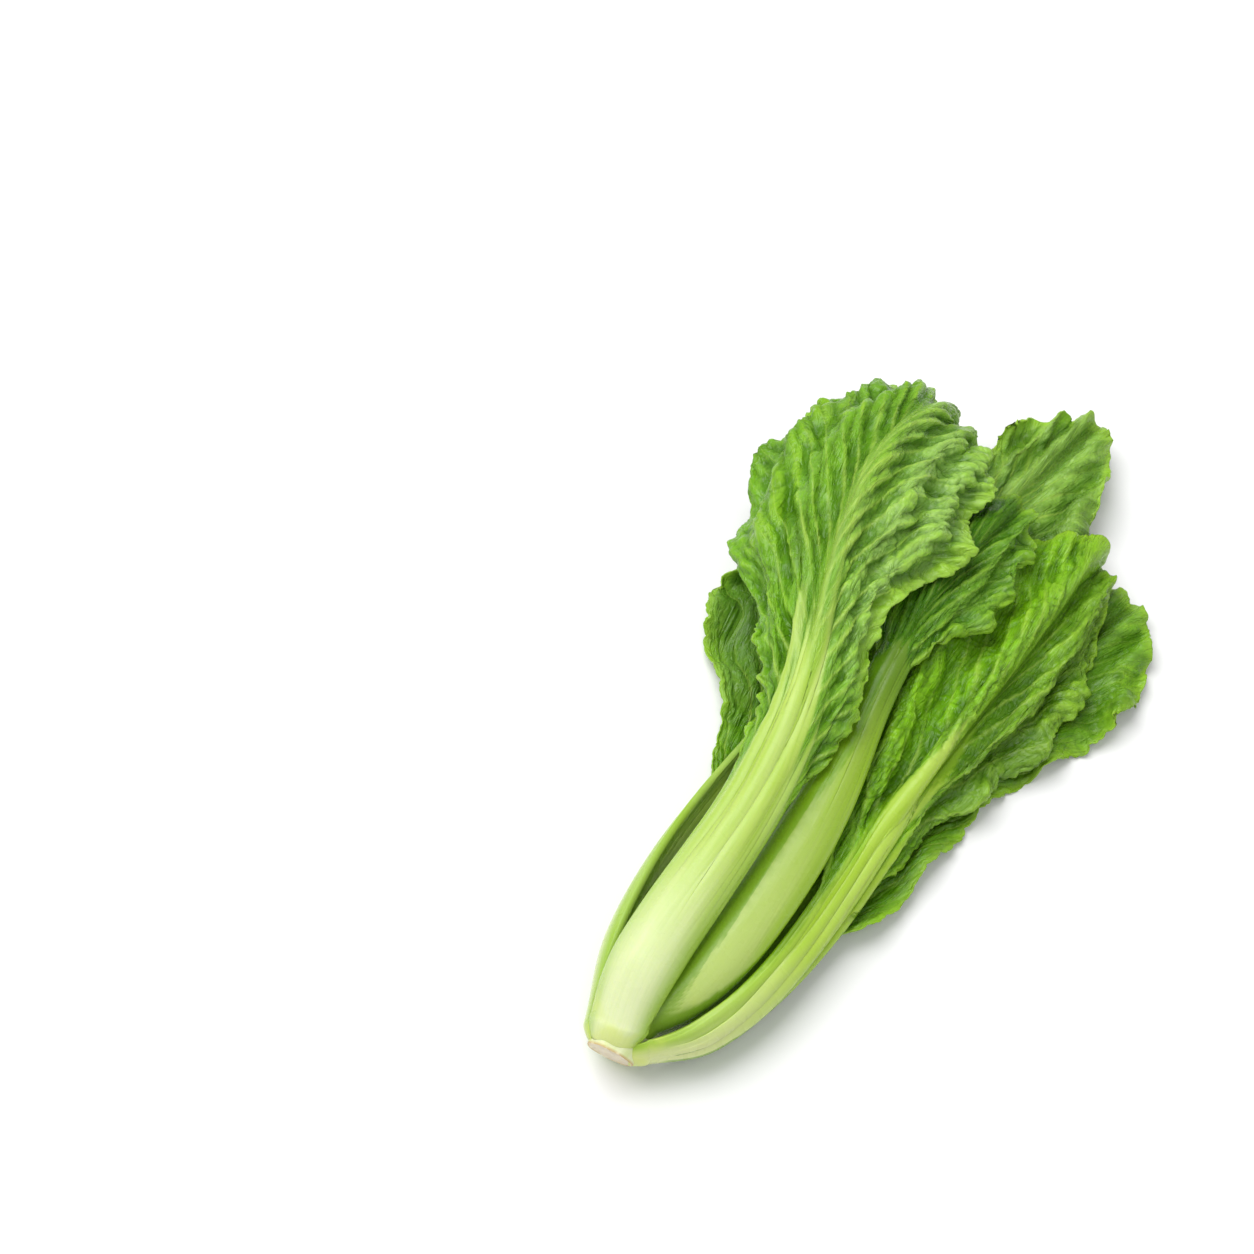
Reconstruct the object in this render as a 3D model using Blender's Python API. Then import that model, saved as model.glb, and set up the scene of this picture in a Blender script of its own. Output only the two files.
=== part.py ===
"""One head of mustard greens as picked, lying on its side: a cut stem and the seven leaves that grow from it.

Metres, +Z up. The head is laid out along +Y, with the cut end of its stem near y = 0 and the leaf tips at
the far end, and its surface to lie on is z = 0. Each leaf is one closed solid: a fleshy stalk,
crescent-shaped in section, that thins into a midrib, with a thin waved blade on both sides of it. The leaves
are laid one over another, from the lowest to the top one, and each is lifted just clear of those below it.
An empty carries all the pieces, and puts the origin on the surface under the middle of the head's box.
"""
import math
from dataclasses import dataclass

import bmesh
import bpy
import numpy as np

# Cut stem, a short butt along +Y; its slant is how far the cut face runs along +Y for a metre of x and of z
CUT_RADIUS = 0.0094
CUT_AT = -0.0025
CUT_SLANT = (0.10, -0.18)
STEM_RADIUS = 0.0110
STEM_HEIGHT = 0.0165
COLLAR_END = 0.0050
STEM_END = 0.0185
STEM_SIDES = 36
STEM_RINGS = 7

# Leaf tissue
BLADE_THICK = 0.0009
STALK_EDGE_THICK = 0.0026
MIDRIB_THICK = 0.0018
MIDRIB_HALF = 0.0030
LEAST_THICK = 0.0008

# Grid of each leaf: rows along the bare stalk, rows along the blade, columns across
STALK_ROWS = 8
BLADE_ROWS = 20
COLUMNS = 14
CURVE_SAMPLES = 1200

# Laying of the leaves: air left between two of them, the map that keeps the height reached so far, and the
# share of a stalk over which the lift sets in, so that its root stays on the stem
AIR = 0.0012
MAP_CELL = 0.0015
MAP_LOW = (-0.16, -0.05)
MAP_SHAPE = (240, 300)
MAP_SAMPLES = 7
NOTHING_YET = -1.0
LIFT_SPREAD = 24
LIFT_FADE = 0.985
FREE_STALK = 0.7

# Finishes: base colour and roughness
LEAF_GREEN = ((0.130, 0.290, 0.045, 1.0), 0.45)
STEM_CREAM = ((0.740, 0.790, 0.520, 1.0), 0.50)


@dataclass(frozen=True)
class Leaf:
    """One leaf, worked out on u from its root to its tip and v from its left margin to its right one.

    Left and right are as seen from the outer side with the tip away. A route row is a point of the midrib
    and the angle by which the outer side turns there from straight up towards the right of the route. Curls
    are half the angle that the leaf's section bends through, and shares count along its length. The blade
    starts to flare, and is fullest, at shares of its length that are given for its left and its right.
    """

    name: str
    route: tuple
    stalk_share: float
    root_half: float
    stalk_half: float
    blade_left: float
    blade_right: float
    stalk_thick: float
    root_curl: float
    stalk_curl: float
    curl_left: float
    curl_right: float
    wing_left: float
    wing_right: float
    flare: tuple
    fullest: tuple
    ruffle: float
    side_waves: float
    top_waves: float
    pleat: float
    pleats: float
    phase: float
    neck: float = 0.8
    rounding: float = 0.8

    def stalk_part(self, u):
        """Share of the bare stalk passed at u."""
        return np.clip(u / self.stalk_share, 0.0, 1.0)

    def blade_part(self, u):
        """Share of the blade passed at u."""
        return np.clip((u - self.stalk_share) / (1.0 - self.stalk_share), 0.0, 1.0)

    def of_side(self, v, left, right):
        """The left value where v is on the left, the right one elsewhere."""
        return np.where(v < 0.0, left, right)

    def stalk_width(self, u):
        """Half width of the stalk, which swells from the root and narrows to the neck under the blade."""
        a = self.stalk_part(u)
        swell = self.root_half + (self.stalk_half - self.root_half) * smooth(a / 0.30)
        return swell * (1.0 - (1.0 - self.neck) * smooth((a - 0.45) / 0.55))

    def rib_half(self, u):
        """Half width of the fleshy rib: the whole stalk, then a midrib that fades along the blade."""
        return MIDRIB_HALF + (self.stalk_width(u) - MIDRIB_HALF) * (1.0 - self.blade_part(u)) ** 1.6

    def half_width(self, u, v):
        """Distance from the midrib to the margin: stalk, narrow wings, then the blade's flare and its tip."""
        t = self.blade_part(u)
        blade = self.of_side(v, self.blade_left, self.blade_right)
        wing = self.of_side(v, self.wing_left, self.wing_right)
        flare, fullest = self.of_side(v, *self.flare), self.of_side(v, *self.fullest)
        grow = smooth((t - flare) / (fullest - flare))
        close = 1.0 - 0.30 * smooth((t - fullest) / (1.0 - fullest))
        spread = (blade - self.stalk_half * self.neck - wing) * grow * close
        return self.stalk_width(u) + wing * smooth(t / 0.14) + spread

    def wave(self, u, v):
        """Height of the waves over the plain blade: ruffled margins, a waved top and lengthwise pleats."""
        t = self.blade_part(u)
        margin = smooth((np.abs(v) - 0.35) / 0.65) ** 1.3
        shift = self.of_side(v, 0.0, 1.7) + self.phase
        side = margin * np.sin(2.0 * math.pi * self.side_waves * t + shift) * smooth(t / 0.25)
        top = smooth((u - 0.80) / 0.20) * np.sin(2.0 * math.pi * self.top_waves * v + self.phase)
        top = top * (1.0 - 0.7 * margin)
        fold = np.cos(math.pi * self.pleats * v + 0.6 * self.phase) * smooth(t / 0.4)
        fold = fold * (1.0 - 0.4 * smooth((t - 0.75) / 0.25))
        breadth = self.half_width(u, v) / self.of_side(v, self.blade_left, self.blade_right)
        return (self.ruffle * (side + 0.8 * top) + self.pleat * fold) * breadth

    def path(self):
        """Lengths, points, outer directions and directions to the right along the route."""
        rows = spline(self.route, CURVE_SAMPLES)
        points = rows[:, :3]
        steps = np.linalg.norm(np.diff(points, axis=0), axis=1)
        lengths = np.concatenate([[0.0], np.cumsum(steps)])
        tangent = unit(np.gradient(points, lengths, axis=0))
        side = unit(np.cross(tangent, (0.0, 0.0, 1.0)))
        up = np.cross(side, tangent)
        facing = np.radians(rows[:, 3])[:, None]
        outer = up * np.cos(facing) + side * np.sin(facing)
        return lengths, points, outer, np.cross(tangent, outer)

    def surface(self, u, v):
        """Middle surface of the leaf.

        The margins lag behind the midrib towards the tip, which rounds it. Across, the section is an arc of
        the curl's angle, and the waves stand square to it.
        """
        lengths, points, outer, right = self.path()
        t = self.blade_part(u)
        lag = self.rounding * self.of_side(v, self.blade_left, self.blade_right) * t**1.6
        s = u * lengths[-1] - lag * v**2
        centre, out, across = (
            np.stack([np.interp(s, lengths, table[:, k]) for k in range(3)], -1)
            for table in (points, outer, right)
        )
        out, across = unit(out), unit(across)
        stalk = self.root_curl + (self.stalk_curl - self.root_curl) * smooth(self.stalk_part(u) / 0.4)
        blade = self.of_side(v, self.curl_left, self.curl_right)
        half = self.half_width(u, v)
        bend = np.radians(stalk + (blade - stalk) * smooth(t / 0.6)) / half
        angle = (bend * half * v)[..., None]
        bend = bend[..., None]
        arc = across * np.sin(angle) / bend - out * (1.0 - np.cos(angle)) / bend
        return centre + arc + (out * np.cos(angle) + across * np.sin(angle)) * self.wave(u, v)[..., None]

    def thickness(self, u, v):
        """Thickness of the leaf: the crown of the stalk and midrib over the thin blade."""
        a, t = self.stalk_part(u), self.blade_part(u)
        body = self.stalk_thick * (0.42 + 0.58 * smooth(a / 0.25))
        body = body * (1.0 - 0.40 * smooth((a - 0.4) / 0.6))
        crown = np.clip(1.0 - (np.abs(v) * self.half_width(u, v) / self.rib_half(u)) ** 2.2, 0.0, 1.0)
        edge = (STALK_EDGE_THICK - BLADE_THICK) * (1.0 - smooth(t / 0.12)) * smooth(a / 0.2 + 0.2)
        edge = edge + BLADE_THICK
        middle = body * (1.0 - t) ** 0.9 + MIDRIB_THICK * smooth(t / 0.3)
        return edge + np.clip(middle - edge, 0.0, 1.0) * crown


# The leaves in the order in which they are laid, the lowest first
LEAVES = (
    Leaf(
        name="leaf_under",
        route=(
            (0.0000, 0.0040, 0.0036, 180), (-0.0015, 0.0120, 0.0034, 180), (-0.0050, 0.0250, 0.0030, 180),
            (-0.0095, 0.0500, 0.0026, 180), (-0.0140, 0.0850, 0.0024, 180), (-0.0180, 0.1300, 0.0022, 180),
            (-0.0220, 0.1800, 0.0018, 180), (-0.0290, 0.2300, 0.0020, 180), (-0.0360, 0.2800, 0.0060, 180),
        ),
        stalk_share=0.40, root_half=0.0086, stalk_half=0.0138, blade_left=0.050, blade_right=0.052,
        stalk_thick=0.0080, root_curl=37, stalk_curl=40, curl_left=12, curl_right=16,
        wing_left=0.008, wing_right=0.008, flare=(0.14, 0.14), fullest=(0.68, 0.68),
        ruffle=0.0032, side_waves=4.0, top_waves=2.5, pleat=0.0010, pleats=5.0, phase=0.4,
    ),
    Leaf(
        name="leaf_low_right",
        route=(
            (0.0066, 0.0175, 0.0124, 150), (0.0122, 0.0260, 0.0110, 152), (0.0210, 0.0450, 0.0084, 163),
            (0.0280, 0.0750, 0.0052, 174), (0.0345, 0.1050, 0.0037, 178), (0.0390, 0.1450, 0.0029, 180),
            (0.0435, 0.1850, 0.0025, 181), (0.0530, 0.2250, 0.0035, 180), (0.0665, 0.2620, 0.0060, 178),
            (0.0790, 0.2950, 0.0060, 176),
        ),
        stalk_share=0.22, root_half=0.0056, stalk_half=0.0110, blade_left=0.040, blade_right=0.044,
        stalk_thick=0.0075, root_curl=60, stalk_curl=30, curl_left=6, curl_right=10,
        wing_left=0.0185, wing_right=0.002, flare=(0.45, 0.55), fullest=(0.86, 0.88),
        ruffle=0.0045, side_waves=5.0, top_waves=2.6, pleat=0.0012, pleats=4.0, phase=1.4,
    ),
    Leaf(
        name="leaf_far",
        route=(
            (-0.0135, 0.0040, 0.0148, -100), (-0.0158, 0.0120, 0.0168, -99), (-0.0202, 0.0260, 0.0194, -99),
            (-0.0246, 0.0500, 0.0192, -105), (-0.0250, 0.0850, 0.0166, -118), (-0.0210, 0.1250, 0.0130, -135),
            (-0.0150, 0.1650, 0.0115, -152), (-0.0090, 0.2050, 0.0115, -165), (-0.0010, 0.2480, 0.0130, -172),
            (0.0090, 0.2920, 0.0170, -176), (0.0180, 0.3340, 0.0180, -178), (0.0240, 0.3670, 0.0160, -180),
        ),
        stalk_share=0.38, root_half=0.0086, stalk_half=0.0140, blade_left=0.045, blade_right=0.024,
        stalk_thick=0.0080, root_curl=37, stalk_curl=42, curl_left=16, curl_right=14,
        wing_left=0.008, wing_right=0.008, flare=(0.14, 0.14), fullest=(0.68, 0.68),
        ruffle=0.0042, side_waves=5.0, top_waves=2.4, pleat=0.0014, pleats=5.0, phase=2.2, rounding=1.4,
    ),
    Leaf(
        name="leaf_heart",
        route=(
            (0.0000, 0.0200, 0.0190, 0), (0.0010, 0.0350, 0.0220, 0), (0.0020, 0.0600, 0.0240, 0),
            (0.0020, 0.0900, 0.0255, 0), (0.0010, 0.1200, 0.0260, 0), (-0.0020, 0.1500, 0.0250, 0),
            (-0.0060, 0.1900, 0.0230, 0),
        ),
        stalk_share=0.34, root_half=0.0050, stalk_half=0.0080, blade_left=0.024, blade_right=0.024,
        stalk_thick=0.0055, root_curl=60, stalk_curl=50, curl_left=26, curl_right=30,
        wing_left=0.004, wing_right=0.004, flare=(0.14, 0.14), fullest=(0.68, 0.68),
        ruffle=0.0018, side_waves=3.0, top_waves=1.5, pleat=0.0008, pleats=3.0, phase=0.2,
    ),
    Leaf(
        name="leaf_right",
        route=(
            (0.0134, 0.0040, 0.0170, 88), (0.0180, 0.0085, 0.0164, 88), (0.0296, 0.0215, 0.0158, 84),
            (0.0388, 0.0440, 0.0168, 74), (0.0438, 0.0720, 0.0188, 61), (0.0458, 0.1030, 0.0212, 48),
            (0.0456, 0.1360, 0.0240, 37), (0.0457, 0.1680, 0.0260, 29), (0.0485, 0.2040, 0.0270, 22),
            (0.0520, 0.2420, 0.0260, 18), (0.0545, 0.2800, 0.0220, 15), (0.0560, 0.3020, 0.0160, 12),
        ),
        stalk_share=0.32, root_half=0.0094, stalk_half=0.0122, blade_left=0.052, blade_right=0.040,
        stalk_thick=0.0090, root_curl=37, stalk_curl=48, curl_left=40, curl_right=46,
        wing_left=0.008, wing_right=0.005, flare=(0.10, 0.10), fullest=(0.68, 0.68), neck=0.97,
        ruffle=0.0036, side_waves=4.5, top_waves=3.0, pleat=0.0048, pleats=4.0, phase=0.9, rounding=1.15,
    ),
    Leaf(
        name="leaf_middle",
        route=(
            (0.0078, 0.0150, 0.0246, 44), (0.0146, 0.0235, 0.0268, 40), (0.0204, 0.0410, 0.0306, 31),
            (0.0226, 0.0700, 0.0345, 22), (0.0226, 0.1010, 0.0370, 16), (0.0206, 0.1330, 0.0395, 10),
            (0.0160, 0.1640, 0.0410, 8), (0.0130, 0.1930, 0.0430, 10), (0.0120, 0.2220, 0.0430, 14),
            (0.0135, 0.2500, 0.0410, 16), (0.0170, 0.2780, 0.0370, 16), (0.0210, 0.2980, 0.0310, 16),
        ),
        stalk_share=0.62, root_half=0.0098, stalk_half=0.0137, blade_left=0.044, blade_right=0.029,
        stalk_thick=0.0088, root_curl=60, stalk_curl=48, curl_left=28, curl_right=34,
        wing_left=0.003, wing_right=0.003, flare=(0.00, 0.06), fullest=(0.60, 0.52), neck=0.58,
        ruffle=0.0030, side_waves=3.5, top_waves=2.2, pleat=0.0016, pleats=4.0, phase=2.9,
    ),
    Leaf(
        name="leaf_top",
        route=(
            (-0.0014, 0.0040, 0.0303, -6), (-0.0028, 0.0110, 0.0345, -4), (-0.0042, 0.0255, 0.0410, 0),
            (-0.0032, 0.0510, 0.0470, 0), (-0.0008, 0.0790, 0.0520, 0), (-0.0002, 0.1090, 0.0560, 0),
            (-0.0048, 0.1450, 0.0610, 2), (-0.0140, 0.1800, 0.0650, 4), (-0.0245, 0.2110, 0.0680, 6),
            (-0.0315, 0.2430, 0.0690, 8), (-0.0330, 0.2720, 0.0670, 9), (-0.0310, 0.2990, 0.0600, 10),
            (-0.0290, 0.3165, 0.0480, 10), (-0.0275, 0.3240, 0.0340, 10),
        ),
        stalk_share=0.31, root_half=0.0134, stalk_half=0.0152, blade_left=0.066, blade_right=0.052,
        stalk_thick=0.0105, root_curl=53, stalk_curl=54, curl_left=80, curl_right=40,
        wing_left=0.006, wing_right=0.012, flare=(0.16, 0.40), fullest=(0.68, 0.62), neck=0.92,
        ruffle=0.0042, side_waves=4.5, top_waves=3.0, pleat=0.0028, pleats=6.0, phase=0.0, rounding=0.3,
    ),
)


def smooth(t):
    """Soft step from 0 to 1 as t goes from 0 to 1."""
    t = np.clip(t, 0.0, 1.0)
    return t * t * (3.0 - 2.0 * t)


def unit(vectors):
    """Vectors of length 1 in the same directions."""
    return vectors / np.linalg.norm(vectors, axis=-1, keepdims=True)


def spline(rows, count):
    """Uniform cubic B-spline along the rows, from the first row to the last, as count rows."""
    rows = np.asarray(rows, float)
    rows = np.vstack([2.0 * rows[0] - rows[1], rows, 2.0 * rows[-1] - rows[-2]])
    x = np.linspace(0.0, len(rows) - 3 - 1e-9, count)
    i = x.astype(int)
    t = (x - i)[:, None]
    blend = (
        (1.0 - t) ** 3 * rows[i]
        + (3.0 * t**3 - 6.0 * t**2 + 4.0) * rows[i + 1]
        + (-3.0 * t**3 + 3.0 * t**2 + 3.0 * t + 1.0) * rows[i + 2]
        + t**3 * rows[i + 3]
    )
    return blend / 6.0


def outward(grid):
    """Unit normals of a grid of points, towards the outer side of the leaf."""
    return unit(np.cross(np.gradient(grid, axis=1), np.gradient(grid, axis=0)))


def finer(grid):
    """The grid of points with MAP_SAMPLES steps, along straight lines, for each of its own."""
    rows, columns = grid.shape[:2]
    x = np.linspace(0.0, rows - 1.0, (rows - 1) * MAP_SAMPLES + 1)
    y = np.linspace(0.0, columns - 1.0, (columns - 1) * MAP_SAMPLES + 1)
    i = np.minimum(x.astype(int), rows - 2)[:, None]
    j = np.minimum(y.astype(int), columns - 2)[None, :]
    fx = x[:, None, None] - i[..., None]
    fy = y[None, :, None] - j[..., None]
    near = grid[i, j] * (1.0 - fy) + grid[i, j + 1] * fy
    far = grid[i + 1, j] * (1.0 - fy) + grid[i + 1, j + 1] * fy
    return near * (1.0 - fx) + far * fx


def map_cells(points):
    """Row and column in the height map of each point."""
    cells = np.floor((points[..., :2] - np.array(MAP_LOW)) / MAP_CELL).astype(int)
    return np.clip(cells[..., 0], 0, MAP_SHAPE[0] - 1), np.clip(cells[..., 1], 0, MAP_SHAPE[1] - 1)


def neighbours(array):
    """The nine shifted copies of an array that hold each cell's neighbours and the cell itself."""
    padded = np.pad(array, 1, mode="edge")
    rows, columns = array.shape
    return [padded[i:i + rows, j:j + columns] for i in range(3) for j in range(3)]


def lift_over(faces, heights):
    """Lift of each grid point that carries a leaf, given as its two faces, over all that the map holds.

    A point takes the highest lift that the squares round it need, and the lift then fades softly over the
    leaf.
    """
    ceiling = np.max(neighbours(heights), axis=0) + AIR
    need = np.full(finer(faces[0]).shape[:2], NOTHING_YET)
    for face in faces:
        fine = finer(face)
        need = np.maximum(need, ceiling[map_cells(fine)] - fine[..., 2])
    rows, columns = faces[0].shape[:2]
    least = np.zeros((rows, columns))
    for i in range(rows):
        for j in range(columns):
            window = need[
                max(0, (i - 1) * MAP_SAMPLES):(i + 1) * MAP_SAMPLES + 1,
                max(0, (j - 1) * MAP_SAMPLES):(j + 1) * MAP_SAMPLES + 1,
            ]
            least[i, j] = max(0.0, window.max())
    lift = least
    for _ in range(LIFT_SPREAD):
        around = neighbours(lift)
        mean = (around[1] + around[3] + around[5] + around[7]) / 4.0
        lift = np.maximum(least, mean * LIFT_FADE)
    return lift


def leaf_grid(leaf):
    """Values of u and v at the grid points of a leaf."""
    stalk = np.linspace(0.0, leaf.stalk_share, STALK_ROWS + 1)[:-1]
    blade = np.linspace(leaf.stalk_share, 1.0, BLADE_ROWS + 1)
    across = np.linspace(-1.0, 1.0, COLUMNS + 1)
    return np.meshgrid(np.concatenate([stalk, blade]), across, indexing="ij")


def pressed_flat(faces):
    """The two faces with nothing below the surface: what would sink into it is pressed flat."""
    down = faces[0][..., 2:3] < faces[1][..., 2:3]
    low, high = np.where(down, *faces), np.where(down, faces[1], faces[0])
    low[..., 2] = np.maximum(low[..., 2], 0.0)
    high[..., 2] = np.maximum(high[..., 2], low[..., 2] + LEAST_THICK)
    return np.where(down, low, high), np.where(down, high, low)


def lay_leaves():
    """Outer and inner face of each leaf, as grids of points, once all are laid one over another."""
    heights = np.full(MAP_SHAPE, NOTHING_YET)
    laid = {}
    for leaf in LEAVES:
        u, v = leaf_grid(leaf)
        middle = leaf.surface(u, v)
        half = leaf.thickness(u, v)[..., None] / 2.0
        out = outward(middle) * half
        lift = lift_over((middle + out, middle - out), heights)
        middle[..., 2] += lift * smooth(leaf.stalk_part(u) / FREE_STALK)
        out = outward(middle) * half
        laid[leaf.name] = pressed_flat((middle + out, middle - out))
        for face in laid[leaf.name]:
            fine = finer(face)
            np.maximum.at(heights, map_cells(fine), fine[..., 2])
    return laid


def shell_mesh(name, outer, inner):
    """Closed mesh between two grids of points, split into triangles alike on both faces."""
    rows, columns = outer.shape[:2]
    index = np.arange(rows * columns).reshape(rows, columns)
    a, b, c, d = (part.ravel() for part in (index[:-1, :-1], index[1:, :-1], index[1:, 1:], index[:-1, 1:]))
    top = np.concatenate([np.stack([a, c, b], 1), np.stack([a, d, c], 1)])
    under = top[:, ::-1] + rows * columns
    rim = np.concatenate([index[0, :-1], index[:-1, -1], index[-1, :0:-1], index[:0:-1, 0]])
    after = np.roll(rim, -1)
    below, below_after = rim + rows * columns, after + rows * columns
    edge = [np.stack([rim, below, below_after], 1), np.stack([rim, below_after, after], 1)]
    points = np.concatenate([outer.reshape(-1, 3), inner.reshape(-1, 3)])
    mesh = bpy.data.meshes.new(name)
    mesh.from_pydata(points.tolist(), [], np.concatenate([top, under, *edge]).tolist())
    mesh.shade_smooth()
    mesh.set_sharp_from_angle(angle=math.radians(50.0))
    return mesh


def stem_mesh(name):
    """The butt of the stem: a flat cut, a collar that swells, and a domed top inside the head."""
    profile = [(0.0, CUT_AT), (CUT_RADIUS, CUT_AT)]
    for k in range(1, 4):
        swell = (STEM_RADIUS - CUT_RADIUS) * math.sin(k / 3.0 * math.pi / 2.0)
        profile.append((CUT_RADIUS + swell, CUT_AT + (COLLAR_END - CUT_AT) * k / 3.0))
    for k in range(1, STEM_RINGS + 1):
        turn = k / STEM_RINGS * math.pi / 2.0
        y = COLLAR_END + (STEM_END - COLLAR_END) * math.sin(turn)
        profile.append((STEM_RADIUS * math.cos(turn) if k < STEM_RINGS else 0.0, y))
    bm = bmesh.new()
    ring = [bm.verts.new((radius, y, STEM_HEIGHT)) for radius, y in profile]
    edges = [bm.edges.new(pair) for pair in zip(ring, ring[1:])]
    axis_point, axis = (0.0, 0.0, STEM_HEIGHT), (0.0, 1.0, 0.0)
    bmesh.ops.spin(bm, geom=ring + edges, cent=axis_point, axis=axis, angle=math.tau, steps=STEM_SIDES)
    bmesh.ops.remove_doubles(bm, verts=bm.verts[:], dist=1e-6)
    bmesh.ops.recalc_face_normals(bm, faces=bm.faces[:])
    for vertex in bm.verts:
        x, y, z = vertex.co
        hold = max(0.0, (COLLAR_END - y) / (COLLAR_END - CUT_AT))
        vertex.co.y += hold * (CUT_SLANT[0] * x + CUT_SLANT[1] * (z - STEM_HEIGHT))
    mesh = bpy.data.meshes.new(name)
    bm.to_mesh(mesh)
    bm.free()
    mesh.shade_smooth()
    mesh.set_sharp_from_angle(angle=math.radians(50.0))
    return mesh


def finish(name, colour, roughness):
    """A plain Principled BSDF material."""
    material = bpy.data.materials.new(name)
    material.use_nodes = True
    shader = material.node_tree.nodes["Principled BSDF"]
    shader.inputs["Base Color"].default_value = colour
    shader.inputs["Roughness"].default_value = roughness
    shader.inputs["Metallic"].default_value = 0.0
    return material


def add_piece(name, mesh, material, head):
    """A named object for one piece, carried by the head's empty."""
    mesh.materials.append(material)
    piece = bpy.data.objects.new(name, mesh)
    piece.parent = head
    bpy.context.scene.collection.objects.link(piece)
    return piece


def middle_of(meshes):
    """Middle of the meshes' common box, seen from above."""
    points = np.array([vertex.co for mesh in meshes.values() for vertex in mesh.vertices])
    return (points.min(axis=0) + points.max(axis=0)) / 2.0


def main():
    """Builds the head."""
    for old in list(bpy.data.objects):
        bpy.data.objects.remove(old)
    meshes = {"cut_stem": stem_mesh("cut_stem")}
    for name, faces in lay_leaves().items():
        meshes[name] = shell_mesh(name, *faces)
    head = bpy.data.objects.new("head", None)
    bpy.context.scene.collection.objects.link(head)
    middle = middle_of(meshes)
    head.location = (-middle[0], -middle[1], 0.0)
    for name, mesh in meshes.items():
        colour, roughness = STEM_CREAM if name == "cut_stem" else LEAF_GREEN
        add_piece(name, mesh, finish(name + "_finish", colour, roughness), head)


main()
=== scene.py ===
"""Looks of one head of mustard greens on its side: seven leaves and the cut stem that they grow from.

Metres, +Z up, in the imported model's own frame. The plain form of each leaf is worked out with the same
values and formulas as in the part's source, and laid over the others in the same way. On that form this
script puts what the solids lack: forking side veins, folds between them, blisters, ribs along the stalks,
and ruffled and toothed margins.
"""
from __future__ import annotations

import logging
import math
from dataclasses import dataclass

import bpy
import numpy as np
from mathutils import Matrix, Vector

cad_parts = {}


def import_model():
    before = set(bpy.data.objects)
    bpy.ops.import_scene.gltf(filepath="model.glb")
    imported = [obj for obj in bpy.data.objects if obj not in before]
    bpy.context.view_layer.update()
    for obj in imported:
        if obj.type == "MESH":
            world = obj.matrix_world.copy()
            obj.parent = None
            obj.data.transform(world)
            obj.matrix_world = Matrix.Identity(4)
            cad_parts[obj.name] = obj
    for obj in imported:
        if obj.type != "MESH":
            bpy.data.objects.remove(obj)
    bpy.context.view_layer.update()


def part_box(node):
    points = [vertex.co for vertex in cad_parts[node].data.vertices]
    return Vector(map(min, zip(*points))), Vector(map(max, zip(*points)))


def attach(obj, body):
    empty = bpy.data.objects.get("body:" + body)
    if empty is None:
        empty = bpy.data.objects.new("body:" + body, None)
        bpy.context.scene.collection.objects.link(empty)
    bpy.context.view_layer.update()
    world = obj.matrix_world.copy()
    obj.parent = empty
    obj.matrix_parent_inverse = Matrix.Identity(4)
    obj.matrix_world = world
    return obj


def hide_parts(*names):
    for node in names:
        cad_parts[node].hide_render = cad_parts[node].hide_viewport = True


log = logging.getLogger("greens")
Array = np.ndarray
Socket = bpy.types.NodeSocket

# Leaf tissue and the grid on which the solids were laid, as in the part's source
BLADE_THICK = 0.0009
STALK_EDGE_THICK = 0.0026
MIDRIB_THICK = 0.0018
MIDRIB_HALF = 0.0030
STALK_ROWS = 8
BLADE_ROWS = 20
COLUMNS = 14
CURVE_SAMPLES = 1200
AIR = 0.0012
SOLID_LEAST_THICK = 0.0008
MAP_CELL = 0.0015
MAP_LOW = (-0.16, -0.05)
MAP_SHAPE = (240, 300)
MAP_SAMPLES = 7
NOTHING_YET = -1.0
LIFT_SPREAD = 24
LIFT_FADE = 0.985
FREE_STALK = 0.7

# Fine skin: air kept between two fine leaves, thinnest blade, fine steps for each square of its own laying
FINE_AIR = 0.0004
FINE_BLADE = 0.00055
LEAST_THICK = 0.00035
FINE_BLOCK = 9
FOOT_ROWS = 10

# Painted shade deep among the leaves: how far round a point to look, in cells of the map, and along how
# many lines
SHADE_REACHES = (3, 6)
SHADE_LINES = 6

# Side veins: softening of their law at the midrib, half widths, and how high they stand
VEIN_SOFT = 0.0004
VEIN_SOFT_ROOT = 0.02
VEIN_HALF = 0.00050
VEIN_HALF_MORE = 0.0006
VEIN_RISE = 0.00016
VEIN_RISE_MORE = 0.00035
FINE_VEIN_HALF = 0.0006
FORK_RISE = 0.00018
CROSS_RISE = 0.00012

# Margins: how far in the teeth, the ruffles and the paler rim reach, and the waves' length
TEETH_FROM = 0.80
RUFFLE_REACH = 0.020
RUFFLE_WAVE = 0.0105
RIM_REACH = 0.004

# Marks: least half width of the pale bundle, half width of the pale midrib, depth of a valley whose crease
# is wholly painted shade, and range of the relief's height over which crests are painted lighter as highlight
BUNDLE_LEAST = 0.0006
CORE_HALF = 0.0014
VALLEY_FULL = 0.0022
HIGHLIGHT_RANGE = 0.003

# Cut stem, in the head's own frame whose y = 0 is near the cut. The ripple on the cut and the heart, the
# dome that reaches up inside the head, are the scene's own, and the rest is as in the part's source
CUT_RADIUS = 0.0094
CUT_AT = -0.0025
CUT_SLANT = (0.10, -0.18)
CUT_RIPPLE = 0.0004
STEM_RADIUS = 0.0110
STEM_HEIGHT = 0.0165
COLLAR_END = 0.0050
STEM_END = 0.0185
HEART_SWELL = 0.0012
HEART_END = 0.0280

# Camera: the photograph's view, and its frame
AZIMUTH = 32.0
ELEVATION = 58.0
LENS = 70.0
SENSOR = 36.0
FAR_CLIP = 50.0
CAMERA_IN_HEAD = (0.19317863, -0.29907414, 0.88916429)

# Stage: floor, surround, and each lamp's name, spot, size and power
FLOOR_HALF = 6.0
FLOOR_GREY = 0.93
SURROUND = 0.39
LAMPS = (("key", (-0.68, 0.12, 1.6), 1.5, 30.0), ("fill", (0.9, -0.6, 1.6), 1.6, 8.0))
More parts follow.
